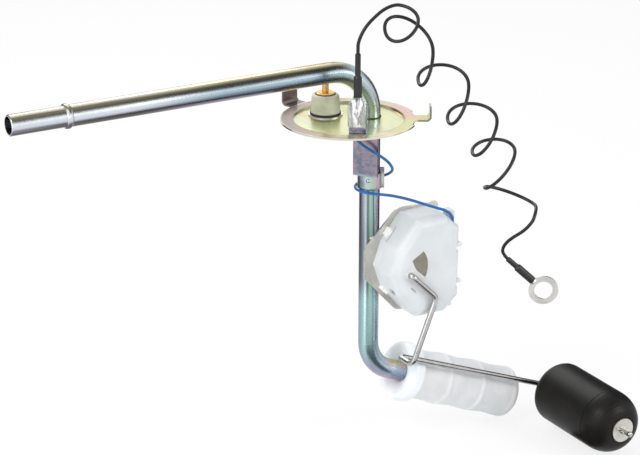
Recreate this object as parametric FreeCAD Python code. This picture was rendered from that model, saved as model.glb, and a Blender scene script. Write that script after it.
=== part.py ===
import FreeCAD, Part
import math
import os
from FreeCAD import Vector

# Fuel level sender with a pickup tube, in millimetres.
# The origin is the centre of the mounting plate's rim, on its underside, which seats on the tank.
# +Z is up, out of the tank. -X runs along the outlet tube, and the sender housing faces -Y.

# Mounting plate
plate_radius = 31.1
sheet = 0.8
dish_radius = 25.0
dish_depth = 1.0
dish_wall_run = 0.3
dish_wall_width = 0.6
relief_radius = 30.0
relief_half_angle = 20.0
notched_tab_width = 7.4
plain_tab_width = 9.6
tab_reach = 7.2
tab_height = 5.6
tab_bend = 1.4
tab_chamfer = 2.2
notched_tab_angle = -30.0
plain_tab_angle = 107.2
weld_gap = 0.05

# Pickup tube
tube_radius = 4.76
tube_wall = 0.9
tube_x = 11.25
outlet_height = 23.4
outlet_reach = 163.5
upper_bend_radius = 21.5
bead_from_tip = 26.0
bead_height = 0.65
bead_half_length = 1.5
nipple_radius = 4.55
tip_chamfer = 0.35
lower_corner_z = -123.6
lower_bend_radius = 18.0
intake_slope = 22.5
intake_length = 31.0

# Bracket between the plate and the tube
bracket_sheet = 0.8
bracket_width = 12.0
bracket_facing = -143.0
bracket_drop = 26.5
bracket_foot = 6.0
band_height = 6.6
ear_direction = -30.0
ear_length = 1.1
ear_height = 9.0
ear_gap = 1.4
dimple_radius = 1.1
dimple_facing = -128.0
dimple_rise = 1.2

# Insulated terminal on the plate
terminal_x = -4.95
terminal_y = 12.45
ring_radius = 7.9
ring_thickness = 0.5
seal_radius = 7.1
seal_thickness = 1.0
insulator_base_radius = 6.75
insulator_top_radius = 6.3
insulator_height = 8.4
insulator_round = 1.5
insulator_mouth_radius = 4.7
insulator_mouth_depth = 1.6
spigot_radius = 3.0
stud_radius = 1.45
stud_flange_radius = 4.3
stud_flange_height = 2.5
stud_neck_radius = 2.8
stud_neck_height = 1.2
stud_above = 9.0
stud_below = 7.6
bush_radius = 5.8
bush_thickness = 1.6
lug_ring_radius = 3.4
lug_sheet = 0.5
lug_barrel_length = 4.0
lug_barrel_wall = 0.45
lug_neck_width = 2.4
nut_flats = 5.5
nut_height = 2.4
slip = 0.05

# Ground blade on the plate and the female terminal over it
blade_x = -6.9
blade_y = -18.9
blade_facing = -127.0
blade_sheet = 0.8
blade_width = 7.65
blade_foot = 8.8
blade_shoulder = 3.4
tongue_width = 6.3
tongue_top = 11.0
receptacle_bottom = 4.6
receptacle_length = 8.0
receptacle_width = 7.1
receptacle_sheet = 0.4
receptacle_roll = 0.6
receptacle_neck = 0.8
barrel_radius = 1.5
barrel_length = 4.6
sleeve_bottom = 3.6
sleeve_length = 13.4
sleeve_width = 8.6
sleeve_depth = 5.4
sleeve_corner = 2.3
sleeve_wall = 0.5
sleeve_taper = 3.0

# Black ground lead: points lie in an upright plane through the blade, as (along, up)
lead_facing = -30.25
lead_radius = 0.78
boot_low_radius = 1.8
boot_low_length = 12.6
boot_high_radius = 1.25
boot_high_length = 10.0
boot_slope = 0.8
boot_edge = 0.3
curl_radius = 8.6
lead_start_route = [(0, 40.6), (0.9, 44.8), (3.2, 48.4), (6.6, 50.6), (10.6, 50.6)]
curl_first_bend = 12.0
curl_route = [
    (10.6, 49.3), (18.0, 49.3), (30.5, 28.8), (43.5, 13.3), (55.5, -2.7), (64.5, -18.2), (72.0, -34.2),
    (72.0, -49.2),
]
lead_end_route = [(67.0, -49.2), (67.0, -52.2), (65.9, -54.9), (66.1, -57.8), (68.3, -59.8)]
ring_boot_thin = 5.5
ring_boot_thick = 10.4
ring_outer_radius = 6.8
ring_hole_radius = 4.2
ring_sheet = 0.9
ring_barrel_length = 5.0

# Blue signal wire
signal_radius = 0.66
signal_route = [
    (3.2, 6.3, -4.4), (1.9, 1.4, -7.2), (3.0, -4.2, -10.4), (6.4, -7.9, -13.4), (10.9, -9.4, -16.4),
    (15.2, -10.0, -20.0), (19.2, -8.0, -25.0), (19.9, -1.9, -29.3), (16.6, 5.2, -32.1), (12.0, 7.6, -33.8),
    (6.6, 5.6, -34.3), (4.4, 0.6, -34.6), (6.0, -4.9, -34.8), (10.6, -8.4, -35.2), (17.6, -9.8, -36.7),
    (26.2, -11.4, -39.7), (34.4, -15.4, -43.0), (41.2, -20.6, -45.2), (44.4, -20.6, -49.5),
]

# Sender unit on the tube: plan sizes are measured from the unit's own centre, as (along, up)
sender_x = 17.3
sender_z = -70.4
pivot_along = 2.0
pivot_up = -1.2
sender_sheet = 0.9
sender_plate_back = 11.9
sender_plate_nose = 7.4
sender_plate_rise = 1.0
sender_plate_shoulder = 5.6
sender_plate_half_height = 25.6
sender_plate_front = 26.5
plate_corner_cut = 8.0
shoulder_round = 5.0
nose_round = 2.0
plate_lug = [(22.6, 25.0), (24.0, 25.4), (26.6, 25.4), (28.2, 23.8), (28.2, 17.6)]
housing_depth = 17.7
housing_wall = 1.6
housing_half_height = 24.0
housing_shoulder = 7.0
housing_cheek_x = -3.3
housing_cheek_z = 11.6
housing_nose = 7.5
housing_front = 30.0
housing_corner_x = 22.4
housing_corner_z = 17.2
housing_edge_round = 4.2
housing_inner_round = 2.6
window_wall = 0.7
window_spots = [(3.1, 5.6), (9.1, 9.2), (11.75, 1.9), (10.3, -4.0), (5.7, 0.2), (4.2, 2.7)]
pivot_slip = 0.06
pivot_boss_radius = 2.6
pivot_boss_height = 0.5
notch_depth = 2.6
notch_height = 4.9
notch_middles = (7.4, -10.8)
nib_height = 1.9
nib_reach = 0.9
hook_root = (22.4, -19.6)
hook_tip = (25.4, -20.9)
hook_half = 0.9
face_slit = [(2.5, -7.7), (5.4, -10.4)]
face_slit_width = 0.35
latch_starts = (2.7, -0.4)
latch_length = 4.0
latch_stand = 1.0
latch_front_y = -9.6
slit_start = 0.2
slit_end = 8.6
slit_y = -10.1
slit_height = 0.5
square_low = -12.1
square_high = -9.6
square_back_y = -14.8
square_front_y = -19.2
post_outline = [(22.0, 20.0), (24.7, 20.0), (24.7, 24.9), (27.8, 24.9), (28.4, 24.3), (28.4, 15.0)]
post_back_y = -15.0
post_front_y = -19.4
wire_port_ease = 0.35
wire_port_length = 5.0

# Mechanism inside the housing
card_inner_radius = 16.5
card_outer_radius = 21.5
card_thickness = 1.6
card_half_angle = 42.0
card_stand = 2.6
winding_count = 26
winding_half_angle = 32.0
winding_height = 0.25
winding_edge = 0.6
hub_radius = 4.2
hub_bore_slip = 0.03
bearing_sheet = 0.6
bearing_eye_radius = 4.0
bearing_radius = 13.8
bearing_middle = 32.0
bearing_half_angle = 60.0
contact_sheet = 0.4
contact_width = 2.8
contact_angle = -30.0
contact_root = 2.2
contact_tip = 20.6
contact_lift = 1.6
contact_taper = 0.7
contact_air = 0.3
contact_pip_radius = 0.8
terminal_angle = 37.3
terminal_width = 2.0
terminal_sheet = 0.5
terminal_from_face = 3.8
terminal_tip_radius = 28.4
terminal_grip = 2.4
inner_gap = 0.4

# Float arm
wire_radius = 1.35
arm_bend_radius = 3.4
face_gap = 0.3
knee_x = 32.5
knee_z = -84.6
ankle_x = 19.9
ankle_z = -116.2
arm_back_y = -13.0
float_x = 110.2
float_z = -152.9

# Float
float_radius = 15.2
float_length = 53.0
float_rear_round = 5.0
float_front_round = 12.5
float_front_rise = 8.9
float_seam_depth = 0.3
float_seam_width = 0.5
float_bore_slip = 0.1
float_end_gap = 0.5
washer_radius = 5.9
washer_thickness = 0.6
wire_tail = 6.2
crimp_width = 4.4
crimp_length = 2.8
crimp_gap = 0.2
crimp_thickness = 0.9

# Strainer: distances run along the intake from the lower corner of the tube
collar_start = 16.6
collar_end = 24.4
collar_radius = 14.4
collar_round = 3.6
collar_dish = 3.6
collar_lip_angle = 15.0
socket_radius = 7.4
socket_end = 34.0
sleeve_start = 24.7
sleeve_end = 88.2
sleeve_waist = 11.9
sleeve_crest = 12.6
sleeve_skin = 0.5
ring_places = (42.9, 63.3, 84.2)
frame_ring_width = 2.4
frame_ring_depth = 1.4
frame_rib_width = 1.6
frame_rib_count = 4
frame_end_ease = 0.25
spigot_end = 29.0
seat_gap = 0.15


def vec(x, y, z):
    return Vector(x, y, z)


def heading(degrees):
    return vec(math.cos(math.radians(degrees)), math.sin(math.radians(degrees)), 0)


def polygon(points):
    """Closed flat face through the points."""
    return Part.Face(Part.makePolygon(points + [points[0]]))


def solid_of(shape):
    """The largest single solid of a result, refined."""
    clean = shape.removeSplitter()
    return max(clean.Solids, key=lambda s: s.Volume)


def disc(radius, bottom, top, x=0.0, y=0.0):
    return Part.makeCylinder(radius, top - bottom, vec(x, y, bottom))


def turned(profile, base, axis, side):
    """Solid of revolution: profile holds (distance along the axis, radius) points."""
    points = [base + axis * along + side * radius for along, radius in profile]
    return polygon(points).revolve(base, axis, 360)


def run_corners(points, radii):
    """Straight runs and tangent arcs through a list of corners, as a list of pieces."""
    pieces = []
    start = points[0]
    for index in range(1, len(points) - 1):
        corner = points[index]
        before = (points[index - 1] - corner).normalize()
        after = (points[index + 1] - corner).normalize()
        opening = before.getAngle(after)
        turn = math.pi - opening
        radius = radii[index - 1]
        reach = radius * math.tan(turn / 2)
        arc_start = corner + before * reach
        arc_end = corner + after * reach
        bisector = (before + after).normalize()
        centre = corner + bisector * (radius / math.cos(turn / 2))
        axis = before.cross(after).normalize()
        pieces.append(("run", start, arc_start))
        pieces.append(("arc", arc_start, centre, axis * -1, math.degrees(turn), arc_end))
        start = arc_end
    pieces.append(("run", start, points[-1]))
    return pieces


def bent_rod(points, radii, radius):
    """Round rod along straight runs and tangent arcs."""
    solids = []
    direction = (points[1] - points[0]).normalize()
    for piece in run_corners(points, radii):
        if piece[0] == "run":
            length = (piece[2] - piece[1]).Length
            if length > 1e-6:
                direction = (piece[2] - piece[1]).normalize()
                solids.append(Part.makeCylinder(radius, length, piece[1], direction))
        else:
            circle = Part.makeCircle(radius, piece[1], direction)
            section = Part.Face(Part.Wire(circle))
            solids.append(section.revolve(piece[2], piece[3], piece[4]))
            leaving = (piece[5] - piece[2]).cross(piece[3]) * -1
            direction = leaving.normalize()
    body = solids[0].multiFuse(solids[1:]) if len(solids) > 1 else solids[0]
    return solid_of(body)


def cord_radii(points, share=0.45):
    """Arc radius at each inner point, as large as its two runs allow."""
    radii = []
    for index in range(1, len(points) - 1):
        before = points[index - 1] - points[index]
        after = points[index + 1] - points[index]
        turn = math.pi - before.getAngle(after)
        radii.append(share * min(before.Length, after.Length) / math.tan(turn / 2))
    return radii


def path_length(points, radii):
    total = 0.0
    for piece in run_corners(points, radii):
        if piece[0] == "run":
            total += (piece[2] - piece[1]).Length
        else:
            total += math.radians(piece[4]) * (piece[1] - piece[2]).Length
    return total


# Mounting plate
floor_top = sheet - dish_depth
floor_bottom = -dish_depth


def rim_tab(angle, width, chamfered):
    """Tab that runs out from the rim and turns up, pointing at the angle."""
    root = relief_radius - 1.5
    tip = relief_radius + tab_reach
    inner = sheet * 0.6
    profile = polygon([vec(root, 0, 0), vec(tip - tab_bend, 0, 0), vec(tip, 0, tab_bend),
                       vec(tip, 0, tab_height + sheet), vec(tip - sheet, 0, tab_height + sheet),
                       vec(tip - sheet, 0, tab_bend + inner), vec(tip - tab_bend - inner * 0.7, 0, sheet),
                       vec(root, 0, sheet)])
    tab = profile.extrude(vec(0, width, 0))
    tab.translate(vec(0, -width / 2, 0))
    if chamfered:
        corner = polygon([vec(tip - 3 * sheet, -width, tab_height + sheet - tab_chamfer),
                          vec(tip - 3 * sheet, -width / 2, tab_height + sheet - tab_chamfer),
                          vec(tip - 3 * sheet, -width / 2 + tab_chamfer, tab_height + sheet),
                          vec(tip - 3 * sheet, -width / 2 + tab_chamfer, tab_height + 3 * sheet),
                          vec(tip - 3 * sheet, -width, tab_height + 3 * sheet)])
        tab = tab.cut(corner.extrude(vec(6 * sheet, 0, 0)))
    tab.rotate(vec(0, 0, 0), vec(0, 0, 1), angle)
    return tab


def mounting_plate():
    step = dish_radius + dish_wall_run
    under = dish_radius + dish_wall_width
    profile = [(floor_bottom, 0), (floor_bottom, under), (0, under + dish_wall_run), (0, plate_radius),
               (sheet, plate_radius), (sheet, step), (floor_top, dish_radius), (floor_top, 0)]
    plate = turned(profile, vec(0, 0, 0), vec(0, 0, 1), vec(1, 0, 0))
    ring = disc(plate_radius + 2, -sheet, 2 * sheet).cut(disc(relief_radius, -sheet, 2 * sheet))
    reach = 2 * plate_radius
    low = heading(notched_tab_angle - relief_half_angle) * reach
    high = heading(notched_tab_angle + relief_half_angle) * reach
    wedge = polygon([vec(0, 0, -sheet), low + vec(0, 0, -sheet), high + vec(0, 0, -sheet)])
    plate = plate.cut(ring.common(wedge.extrude(vec(0, 0, 3 * sheet))))
    plate = plate.fuse(rim_tab(notched_tab_angle, notched_tab_width, True))
    plate = plate.fuse(rim_tab(plain_tab_angle, plain_tab_width, False))
    plate = plate.cut(disc(tube_radius + weld_gap, floor_bottom - 1, sheet + 1, tube_x, 0))
    plate = plate.cut(disc(spigot_radius + slip, floor_bottom - 1, sheet + 1, terminal_x, terminal_y))
    return solid_of(plate)


# Pickup tube
intake_dir = vec(math.cos(math.radians(intake_slope)), 0, -math.sin(math.radians(intake_slope)))
intake_side = vec(0, 1, 0)
lower_corner = vec(tube_x, 0, lower_corner_z)


def intake_point(along):
    return lower_corner + intake_dir * along


def pickup_tube():
    tip_x = -outlet_reach
    nipple_end = tip_x + bead_from_tip - bead_half_length
    route = [vec(nipple_end, 0, outlet_height), vec(tube_x, 0, outlet_height), lower_corner,
             intake_point(intake_length)]
    radii = [upper_bend_radius, lower_bend_radius]
    outside = bent_rod(route, radii, tube_radius)
    bead_top = tube_radius + bead_height
    bead_start = bead_from_tip - bead_half_length
    bead_finish = bead_from_tip + bead_half_length
    shoulder = bead_top - 0.25
    nipple = [(0, 0), (0, nipple_radius - tip_chamfer), (tip_chamfer, nipple_radius),
              (bead_start, nipple_radius), (bead_start + 0.5, shoulder), (bead_start + 1.0, bead_top),
              (bead_finish - 1.0, bead_top), (bead_finish - 0.5, shoulder), (bead_finish, tube_radius),
              (bead_finish + 2, tube_radius), (bead_finish + 2, 0)]
    end = turned(nipple, vec(tip_x, 0, outlet_height), vec(1, 0, 0), vec(0, 0, 1))
    bore_route = [vec(tip_x - 1, 0, outlet_height)] + route[1:3] + [intake_point(intake_length + 1)]
    bore = bent_rod(bore_route, radii, tube_radius - tube_wall)
    return solid_of(outside.fuse(end).cut(bore))


# Bracket
def tube_bracket():
    """Strip with a foot under the plate, a web down the tube and a band round it with two ears."""
    facing = heading(bracket_facing)
    along = vec(-facing.y, facing.x, 0) * (bracket_width / 2)
    seat = tube_radius + weld_gap
    front = seat + bracket_sheet
    centre = vec(tube_x, 0, 0)
    top = floor_bottom
    bottom = top - bracket_drop
    band_bottom = bottom - band_height
    inner_face = centre + facing * seat

    def strip(depth, low, high):
        out = facing * depth
        corners = [inner_face - along, inner_face + along, inner_face + along + out, inner_face - along + out]
        return polygon([corner + vec(0, 0, low) for corner in corners]).extrude(vec(0, 0, high - low))

    web = strip(bracket_sheet, bottom, top)
    foot = strip(bracket_foot + bracket_sheet, top - bracket_sheet, top)
    band = disc(front, band_bottom, bottom + bracket_sheet, tube_x, 0)
    ear_out = heading(ear_direction)
    ear_side = vec(-ear_out.y, ear_out.x, 0)
    ears = []
    for sign in (-1, 1):
        inner = centre + ear_out * seat + ear_side * (sign * ear_gap / 2) + vec(0, 0, band_bottom)
        outer = inner + ear_out * (ear_length + bracket_sheet)
        thick = ear_side * (sign * bracket_sheet)
        ears.append(polygon([inner, outer, outer + thick, inner + thick]).extrude(vec(0, 0, ear_height)))
    half_slot = ear_side * (ear_gap / 2)
    slot_end = centre + ear_out * (front + ear_gap)
    slot = polygon([centre - half_slot, slot_end - half_slot, slot_end + half_slot, centre + half_slot])
    slot.translate(vec(0, 0, band_bottom - 1))
    band = band.cut(slot.extrude(vec(0, 0, band_height + bracket_sheet + 2)))
    dimple = Part.makeSphere(dimple_radius, centre + heading(dimple_facing) * (front - dimple_radius / 2)
                             + vec(0, 0, bottom - band_height / 2 + dimple_rise))
    tube_clear = disc(seat, band_bottom - 1, top + 1, tube_x, 0)
    return solid_of(web.fuse([foot, band, dimple] + ears).cut(tube_clear))


# Insulated terminal
ring_top = floor_top + ring_thickness
seal_top = ring_top + seal_thickness
insulator_top = seal_top + insulator_height
bush_bottom = floor_bottom - bush_thickness
lug_bottom = bush_bottom - lug_sheet
nut_bottom = lug_bottom - nut_height


def washer(outer, inner, bottom, top):
    shape = disc(outer, bottom, top, terminal_x, terminal_y)
    return shape.cut(disc(inner, bottom - 1, top + 1, terminal_x, terminal_y))


def terminal_insulator():
    mouth_floor = insulator_top - insulator_mouth_depth
    profile = [(floor_bottom, stud_radius + slip), (floor_bottom, spigot_radius), (seal_top, spigot_radius),
               (seal_top, insulator_base_radius)]
    for step in range(5):
        angle = math.radians(90.0 * step / 4)
        profile.append((insulator_top - insulator_round + insulator_round * math.sin(angle),
                        insulator_top_radius - insulator_round + insulator_round * math.cos(angle)))
    profile += [(insulator_top, insulator_mouth_radius), (mouth_floor, insulator_mouth_radius),
                (mouth_floor, stud_radius + slip)]
    return solid_of(turned(profile, vec(terminal_x, terminal_y, 0), vec(0, 0, 1), vec(1, 0, 0)))


def terminal_stud():
    mouth_floor = insulator_top - insulator_mouth_depth
    flange_top = mouth_floor + stud_flange_height
    tip = insulator_top + stud_above
    profile = [(floor_bottom - stud_below, 0), (floor_bottom - stud_below, stud_radius - 0.3),
               (floor_bottom - stud_below + 0.3, stud_radius), (mouth_floor, stud_radius),
               (mouth_floor, stud_neck_radius), (mouth_floor + stud_neck_height, stud_neck_radius),
               (mouth_floor + stud_neck_height, stud_flange_radius), (flange_top - 0.4, stud_flange_radius),
               (flange_top, stud_flange_radius - 0.6), (flange_top, stud_radius), (tip - 0.5, stud_radius),
               (tip, stud_radius - 0.5), (tip, 0)]
    return solid_of(turned(profile, vec(terminal_x, terminal_y, 0), vec(0, 0, 1), vec(1, 0, 0)))


def terminal_nut():
    corners = []
    for step in range(6):
        corner = heading(60 * step) * (nut_flats / 2 / math.cos(math.radians(30)))
        corners.append(corner + vec(terminal_x, terminal_y, nut_bottom))
    nut = polygon(corners).extrude(vec(0, 0, nut_height))
    bore = disc(stud_radius + slip, nut_bottom - 1, lug_bottom + 1, terminal_x, terminal_y)
    return nut.cut(bore)


def signal_lug():
    """Ring on the stud with a closed barrel that grips the blue wire's first end."""
    wire_end = signal_points[0]
    towards = (signal_points[1] - wire_end).normalize()
    barrel_start = wire_end - towards * lug_barrel_length
    barrel = Part.makeCylinder(signal_radius + lug_barrel_wall, lug_barrel_length, barrel_start, towards)
    centre = vec(terminal_x, terminal_y, lug_bottom)
    neck_end = vec(barrel_start.x, barrel_start.y, lug_bottom)
    out = (neck_end - centre).normalize()
    half = vec(-out.y, out.x, 0) * (lug_neck_width / 2)
    neck = polygon([centre - half, neck_end - half, neck_end + half, centre + half])
    ring = disc(lug_ring_radius, lug_bottom, bush_bottom, terminal_x, terminal_y)
    bore = disc(stud_radius + slip, lug_bottom - 1, bush_bottom + 1, terminal_x, terminal_y)
    return solid_of(ring.fuse([neck.extrude(vec(0, 0, lug_sheet)), barrel]).cut(bore))


# Ground blade and the terminal over it
blade_out = heading(blade_facing)
blade_along = vec(-blade_out.y, blade_out.x, 0)
blade_foot_point = vec(blade_x, blade_y, 0)


def blade_frame(across_blade, outward, up):
    """Point measured from the blade's middle: across its width, outwards and up from the plate's floor."""
    return blade_foot_point + blade_along * across_blade + blade_out * outward + vec(0, 0, floor_top + up)


def blade_prism(width, back, front, low, high):
    corners = [blade_frame(-width / 2, back, low), blade_frame(width / 2, back, low),
               blade_frame(width / 2, front, low), blade_frame(-width / 2, front, low)]
    return polygon(corners).extrude(vec(0, 0, high - low))


def ground_blade():
    half = blade_sheet / 2
    foot = blade_prism(blade_width, -blade_foot, half, 0, blade_sheet)
    upright = blade_prism(blade_width, -half, half, 0, blade_shoulder)
    tongue = blade_prism(tongue_width, -half, half, blade_shoulder, tongue_top)
    blade = solid_of(foot.fuse([upright, tongue]))
    bend = [e for e in blade.Edges if e.Length > blade_width * 0.9
            and (e.CenterOfMass - blade_frame(0, half, 0)).Length < 0.1]
    return blade.makeFillet(blade_sheet * 0.8, bend)


def spade_receptacle():
    """Folded female terminal: flat back, two rolled edges and a crimp barrel above."""
    back = blade_sheet / 2 + slip
    front = -blade_sheet / 2 - slip
    low = receptacle_bottom
    high = low + receptacle_length
    roll_centre = front - receptacle_roll
    pieces = []
    for sign in (-1, 1):
        base = blade_frame(sign * (receptacle_width / 2 - receptacle_roll), roll_centre, low)
        pieces.append(Part.makeCylinder(receptacle_roll, receptacle_length, base))
        edge = blade_prism(receptacle_sheet, roll_centre, back + receptacle_sheet, low, high)
        edge.translate(blade_along * (sign * (receptacle_width - receptacle_sheet) / 2))
        pieces.append(edge)
    neck = blade_prism(2.2 * barrel_radius, -barrel_radius, back + receptacle_sheet, tongue_top + slip,
                       high + receptacle_neck)
    barrel = Part.makeCylinder(barrel_radius, barrel_length, blade_frame(0, 0, high))
    plate = blade_prism(receptacle_width, back, back + receptacle_sheet, low, high)
    return solid_of(plate.fuse(pieces + [neck, barrel]))


def rounded_outline(width, depth, corner, up):
    """Closed rectangle with round corners, level, about the blade."""
    half = width / 2
    deep = depth / 2
    inset = corner * (1 - math.sqrt(0.5))
    edges = []
    for sign_x, sign_y in ((1, -1), (1, 1), (-1, 1), (-1, -1)):
        turn = sign_x * sign_y
        side_end = blade_frame(sign_x * (half - corner), sign_y * deep, up)
        middle = blade_frame(sign_x * (half - inset), sign_y * (deep - inset), up)
        edge_start = blade_frame(sign_x * half, sign_y * (deep - corner), up)
        spots = [side_end, middle, edge_start] if turn < 0 else [edge_start, middle, side_end]
        edges.append(Part.Arc(spots[0], spots[1], spots[2]).toShape())
        if turn < 0:
            far = blade_frame(sign_x * half, -sign_y * (deep - corner), up)
        else:
            far = blade_frame(-sign_x * (half - corner), sign_y * deep, up)
        edges.append(Part.LineSegment(spots[2], far).toShape())
    return Part.Wire(edges)


def rounded_slab(width, depth, corner, low, high):
    return Part.Face(rounded_outline(width, depth, corner, low)).extrude(vec(0, 0, high - low))


sleeve_top = sleeve_bottom + sleeve_length
sleeve_neck = 2 * (boot_low_radius + sleeve_wall)


def spade_sleeve():
    """Clear sleeve, boxy round the terminal and drawn in to a round neck on the lead's boot."""
    shoulder = sleeve_top - sleeve_taper
    ceiling = shoulder - sleeve_wall
    wide = rounded_outline(sleeve_width, sleeve_depth, sleeve_corner, shoulder)
    neck = rounded_outline(sleeve_neck, sleeve_neck, sleeve_neck * 0.48, sleeve_top)
    outside = rounded_slab(sleeve_width, sleeve_depth, sleeve_corner, sleeve_bottom, shoulder)
    both_walls = 2 * sleeve_wall
    inner = rounded_slab(sleeve_width - both_walls, sleeve_depth - both_walls, sleeve_corner - sleeve_wall,
                         sleeve_bottom - 1, ceiling)
    mouth = Part.makeCylinder(boot_low_radius + slip, sleeve_length, blade_frame(0, 0, ceiling - 1))
    return solid_of(outside.fuse(Part.makeLoft([wide, neck], True, True)).cut(inner).cut(mouth))


# Ground lead
lead_dir = heading(lead_facing)
lead_side = vec(-lead_dir.y, lead_dir.x, 0)
barrel_top = receptacle_bottom + receptacle_length + barrel_length
boot_bottom = sleeve_top - sleeve_taper
boot_step = boot_bottom + boot_low_length
boot_top = floor_top + boot_step + boot_high_length


def lead_point(along, up, aside=0.0):
    return blade_foot_point + lead_dir * along + lead_side * aside + vec(0, 0, up)


def lead_points(route):
    return [lead_point(along, up) for along, up in route]


def stepped_boot(base, axis, side, start, step, end, radii, blind):
    """Shrink sleeve in two steps, bored from its start for the crimp barrel to the blind place."""
    low, high = radii
    bore = barrel_radius + slip
    profile = [(start, bore), (start, low), (step - boot_slope, low), (step, high), (end - boot_edge, high),
               (end, high - boot_edge), (end, 0), (blind, 0), (blind, bore)]
    return solid_of(turned(profile, base, axis, side))


def lead_boot():
    radii = (boot_low_radius, boot_high_radius)
    return stepped_boot(blade_frame(0, 0, 0), vec(0, 0, 1), vec(1, 0, 0), boot_bottom, boot_step,
                        boot_step + boot_high_length, radii, barrel_top + slip)


def cord_solid(points, radii, radius, name):
    """Round solid along the cord's points; prints its length, its radii and its volume against its length."""
    solid = bent_rod(points, radii, radius)
    length = path_length(points, radii)
    share = solid.Volume / (math.pi * radius * radius * length)
    print(name, "length", round(length, 1), "radii", [round(r, 1) for r in radii], "share", round(share, 4))
    return solid


def lead_solid(route, radius, name, first_radius=None):
    points = lead_points(route)
    radii = cord_radii(points)
    if first_radius is not None:
        radii[0] = first_radius
    return cord_solid(points, radii, radius, name)


def ring_frame():
    """Base point and axes of the ring terminal at the lead's far end."""
    before, start = lead_points(lead_end_route)[-2:]
    return start, (start - before).normalize(), lead_side


def ring_boot():
    """The same shrink sleeve at the far end: its axis runs back from the ring to the lead."""
    start, out, side = ring_frame()
    total = ring_boot_thin + ring_boot_thick
    radii = (boot_low_radius, boot_high_radius)
    return stepped_boot(start + out * total, out * -1, side, 0, ring_boot_thick, total, radii,
                        ring_barrel_length + slip)


def ring_terminal():
    start, out, side = ring_frame()
    neck_start = start + out * (ring_boot_thin + ring_boot_thick)
    cross = out.cross(side)
    barrel_start = neck_start - out * ring_barrel_length
    barrel = Part.makeCylinder(barrel_radius, ring_barrel_length + ring_sheet, barrel_start, out)
    centre = neck_start + out * (ring_outer_radius + slip)
    lift = side * (ring_sheet / 2)
    ring = Part.makeCylinder(ring_outer_radius, ring_sheet, centre - lift, side)
    wide = cross * (ring_outer_radius * 0.55)
    narrow = cross * barrel_radius
    neck = polygon([neck_start - narrow - lift, centre - wide - lift, centre + wide - lift,
                    neck_start + narrow - lift])
    hole = Part.makeCylinder(ring_hole_radius, 4 * ring_sheet, centre - lift * 4, side)
    return solid_of(barrel.fuse([ring, neck.extrude(side * ring_sheet)]).cut(hole))


# Blue wire
def signal_wire():
    return cord_solid(signal_points, cord_radii(signal_points), signal_radius, "signal_wire")


# Sender unit
plate_back_y = -(tube_radius + weld_gap)
plate_front_y = plate_back_y - sender_sheet
housing_face_y = plate_front_y - housing_depth
arm_front_y = housing_face_y - pivot_boss_height - face_gap - wire_radius


def sender_point(along, up, y):
    return vec(sender_x + along, y, sender_z + up)


def pivot_point(along, up, y):
    return sender_point(pivot_along + along, pivot_up + up, y)


def sender_prism(outline, y_back, y_front):
    """Solid between two planes from an outline of (along, up) points."""
    points = [sender_point(along, up, y_back) for along, up in outline]
    return polygon(points).extrude(vec(0, y_front - y_back, 0))


def pivot_prism(outline, y_back, y_front):
    """The same, from points measured about the arm's pivot."""
    moved = [(pivot_along + along, pivot_up + up) for along, up in outline]
    return sender_prism(moved, y_back, y_front)


def mirrored(points):
    """Outline that is the same above and below the unit's centre."""
    return points + [(along, -up) for along, up in reversed(points) if up > 0]


def housing_outline(inset):
    points = [(-housing_nose + inset, 0), (housing_cheek_x + inset * 0.9, housing_cheek_z - inset * 0.2),
              (housing_shoulder + inset * 0.4, housing_half_height - inset),
              (housing_corner_x - inset * 0.4, housing_half_height - inset),
              (housing_front - inset, housing_corner_z)]
    return mirrored(points)


cheek_run = (housing_shoulder - housing_cheek_x, housing_half_height - housing_cheek_z)
cheek_length = math.hypot(cheek_run[0], cheek_run[1])


def cheek_block(start, end, inner, outer, y_back, y_front, upper):
    """Block on a slanted cheek: start and end run up it, inner and outer are distances out from its face."""
    along = (cheek_run[0] / cheek_length, cheek_run[1] / cheek_length)
    out = (-along[1], along[0])
    sign = 1 if upper else -1
    corners = []
    for a, o in ((start, inner), (end, inner), (end, outer), (start, outer)):
        corners.append((housing_cheek_x + along[0] * a + out[0] * o,
                        sign * (housing_cheek_z + along[1] * a + out[1] * o)))
    return sender_prism(corners, y_back, y_front)


def sender_plate():
    """Flat plate with rounded corners and a lug at its upper front corner."""
    low = [(-sender_plate_back, sender_plate_rise - sender_plate_nose),
           (sender_plate_shoulder, -sender_plate_half_height),
           (sender_plate_front - plate_corner_cut, -sender_plate_half_height),
           (sender_plate_front, plate_corner_cut - sender_plate_half_height)]
    high = [(-sender_plate_back, sender_plate_rise + sender_plate_nose),
            (sender_plate_shoulder, sender_plate_half_height)]
    shape = sender_prism(high + plate_lug + low[::-1], plate_back_y, plate_front_y)
    for along, radius in ((-sender_plate_back, nose_round), (sender_plate_shoulder, shoulder_round)):
        corners = [e for e in shape.Edges if abs(e.BoundBox.XMin - sender_x - along) < 1e-4
                   and abs(e.BoundBox.XMax - sender_x - along) < 1e-4 and e.BoundBox.ZLength < 1e-4]
        shape = shape.makeFillet(radius, corners)
    return solid_of(shape)


def sector_window(y_back, y_front):
    """Sector-shaped window, from six points on its edge."""
    inner_top, outer_top, outer_middle, outer_low, inner_low, inner_middle = [
        sender_point(along, up, y_back) for along, up in window_spots]
    edges = [Part.LineSegment(inner_top, outer_top).toShape(),
             Part.Arc(outer_top, outer_middle, outer_low).toShape(),
             Part.LineSegment(outer_low, inner_low).toShape(),
             Part.Arc(inner_low, inner_middle, inner_top).toShape()]
    return Part.Face(Part.Wire(edges)).extrude(vec(0, y_front - y_back, 0))


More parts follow.
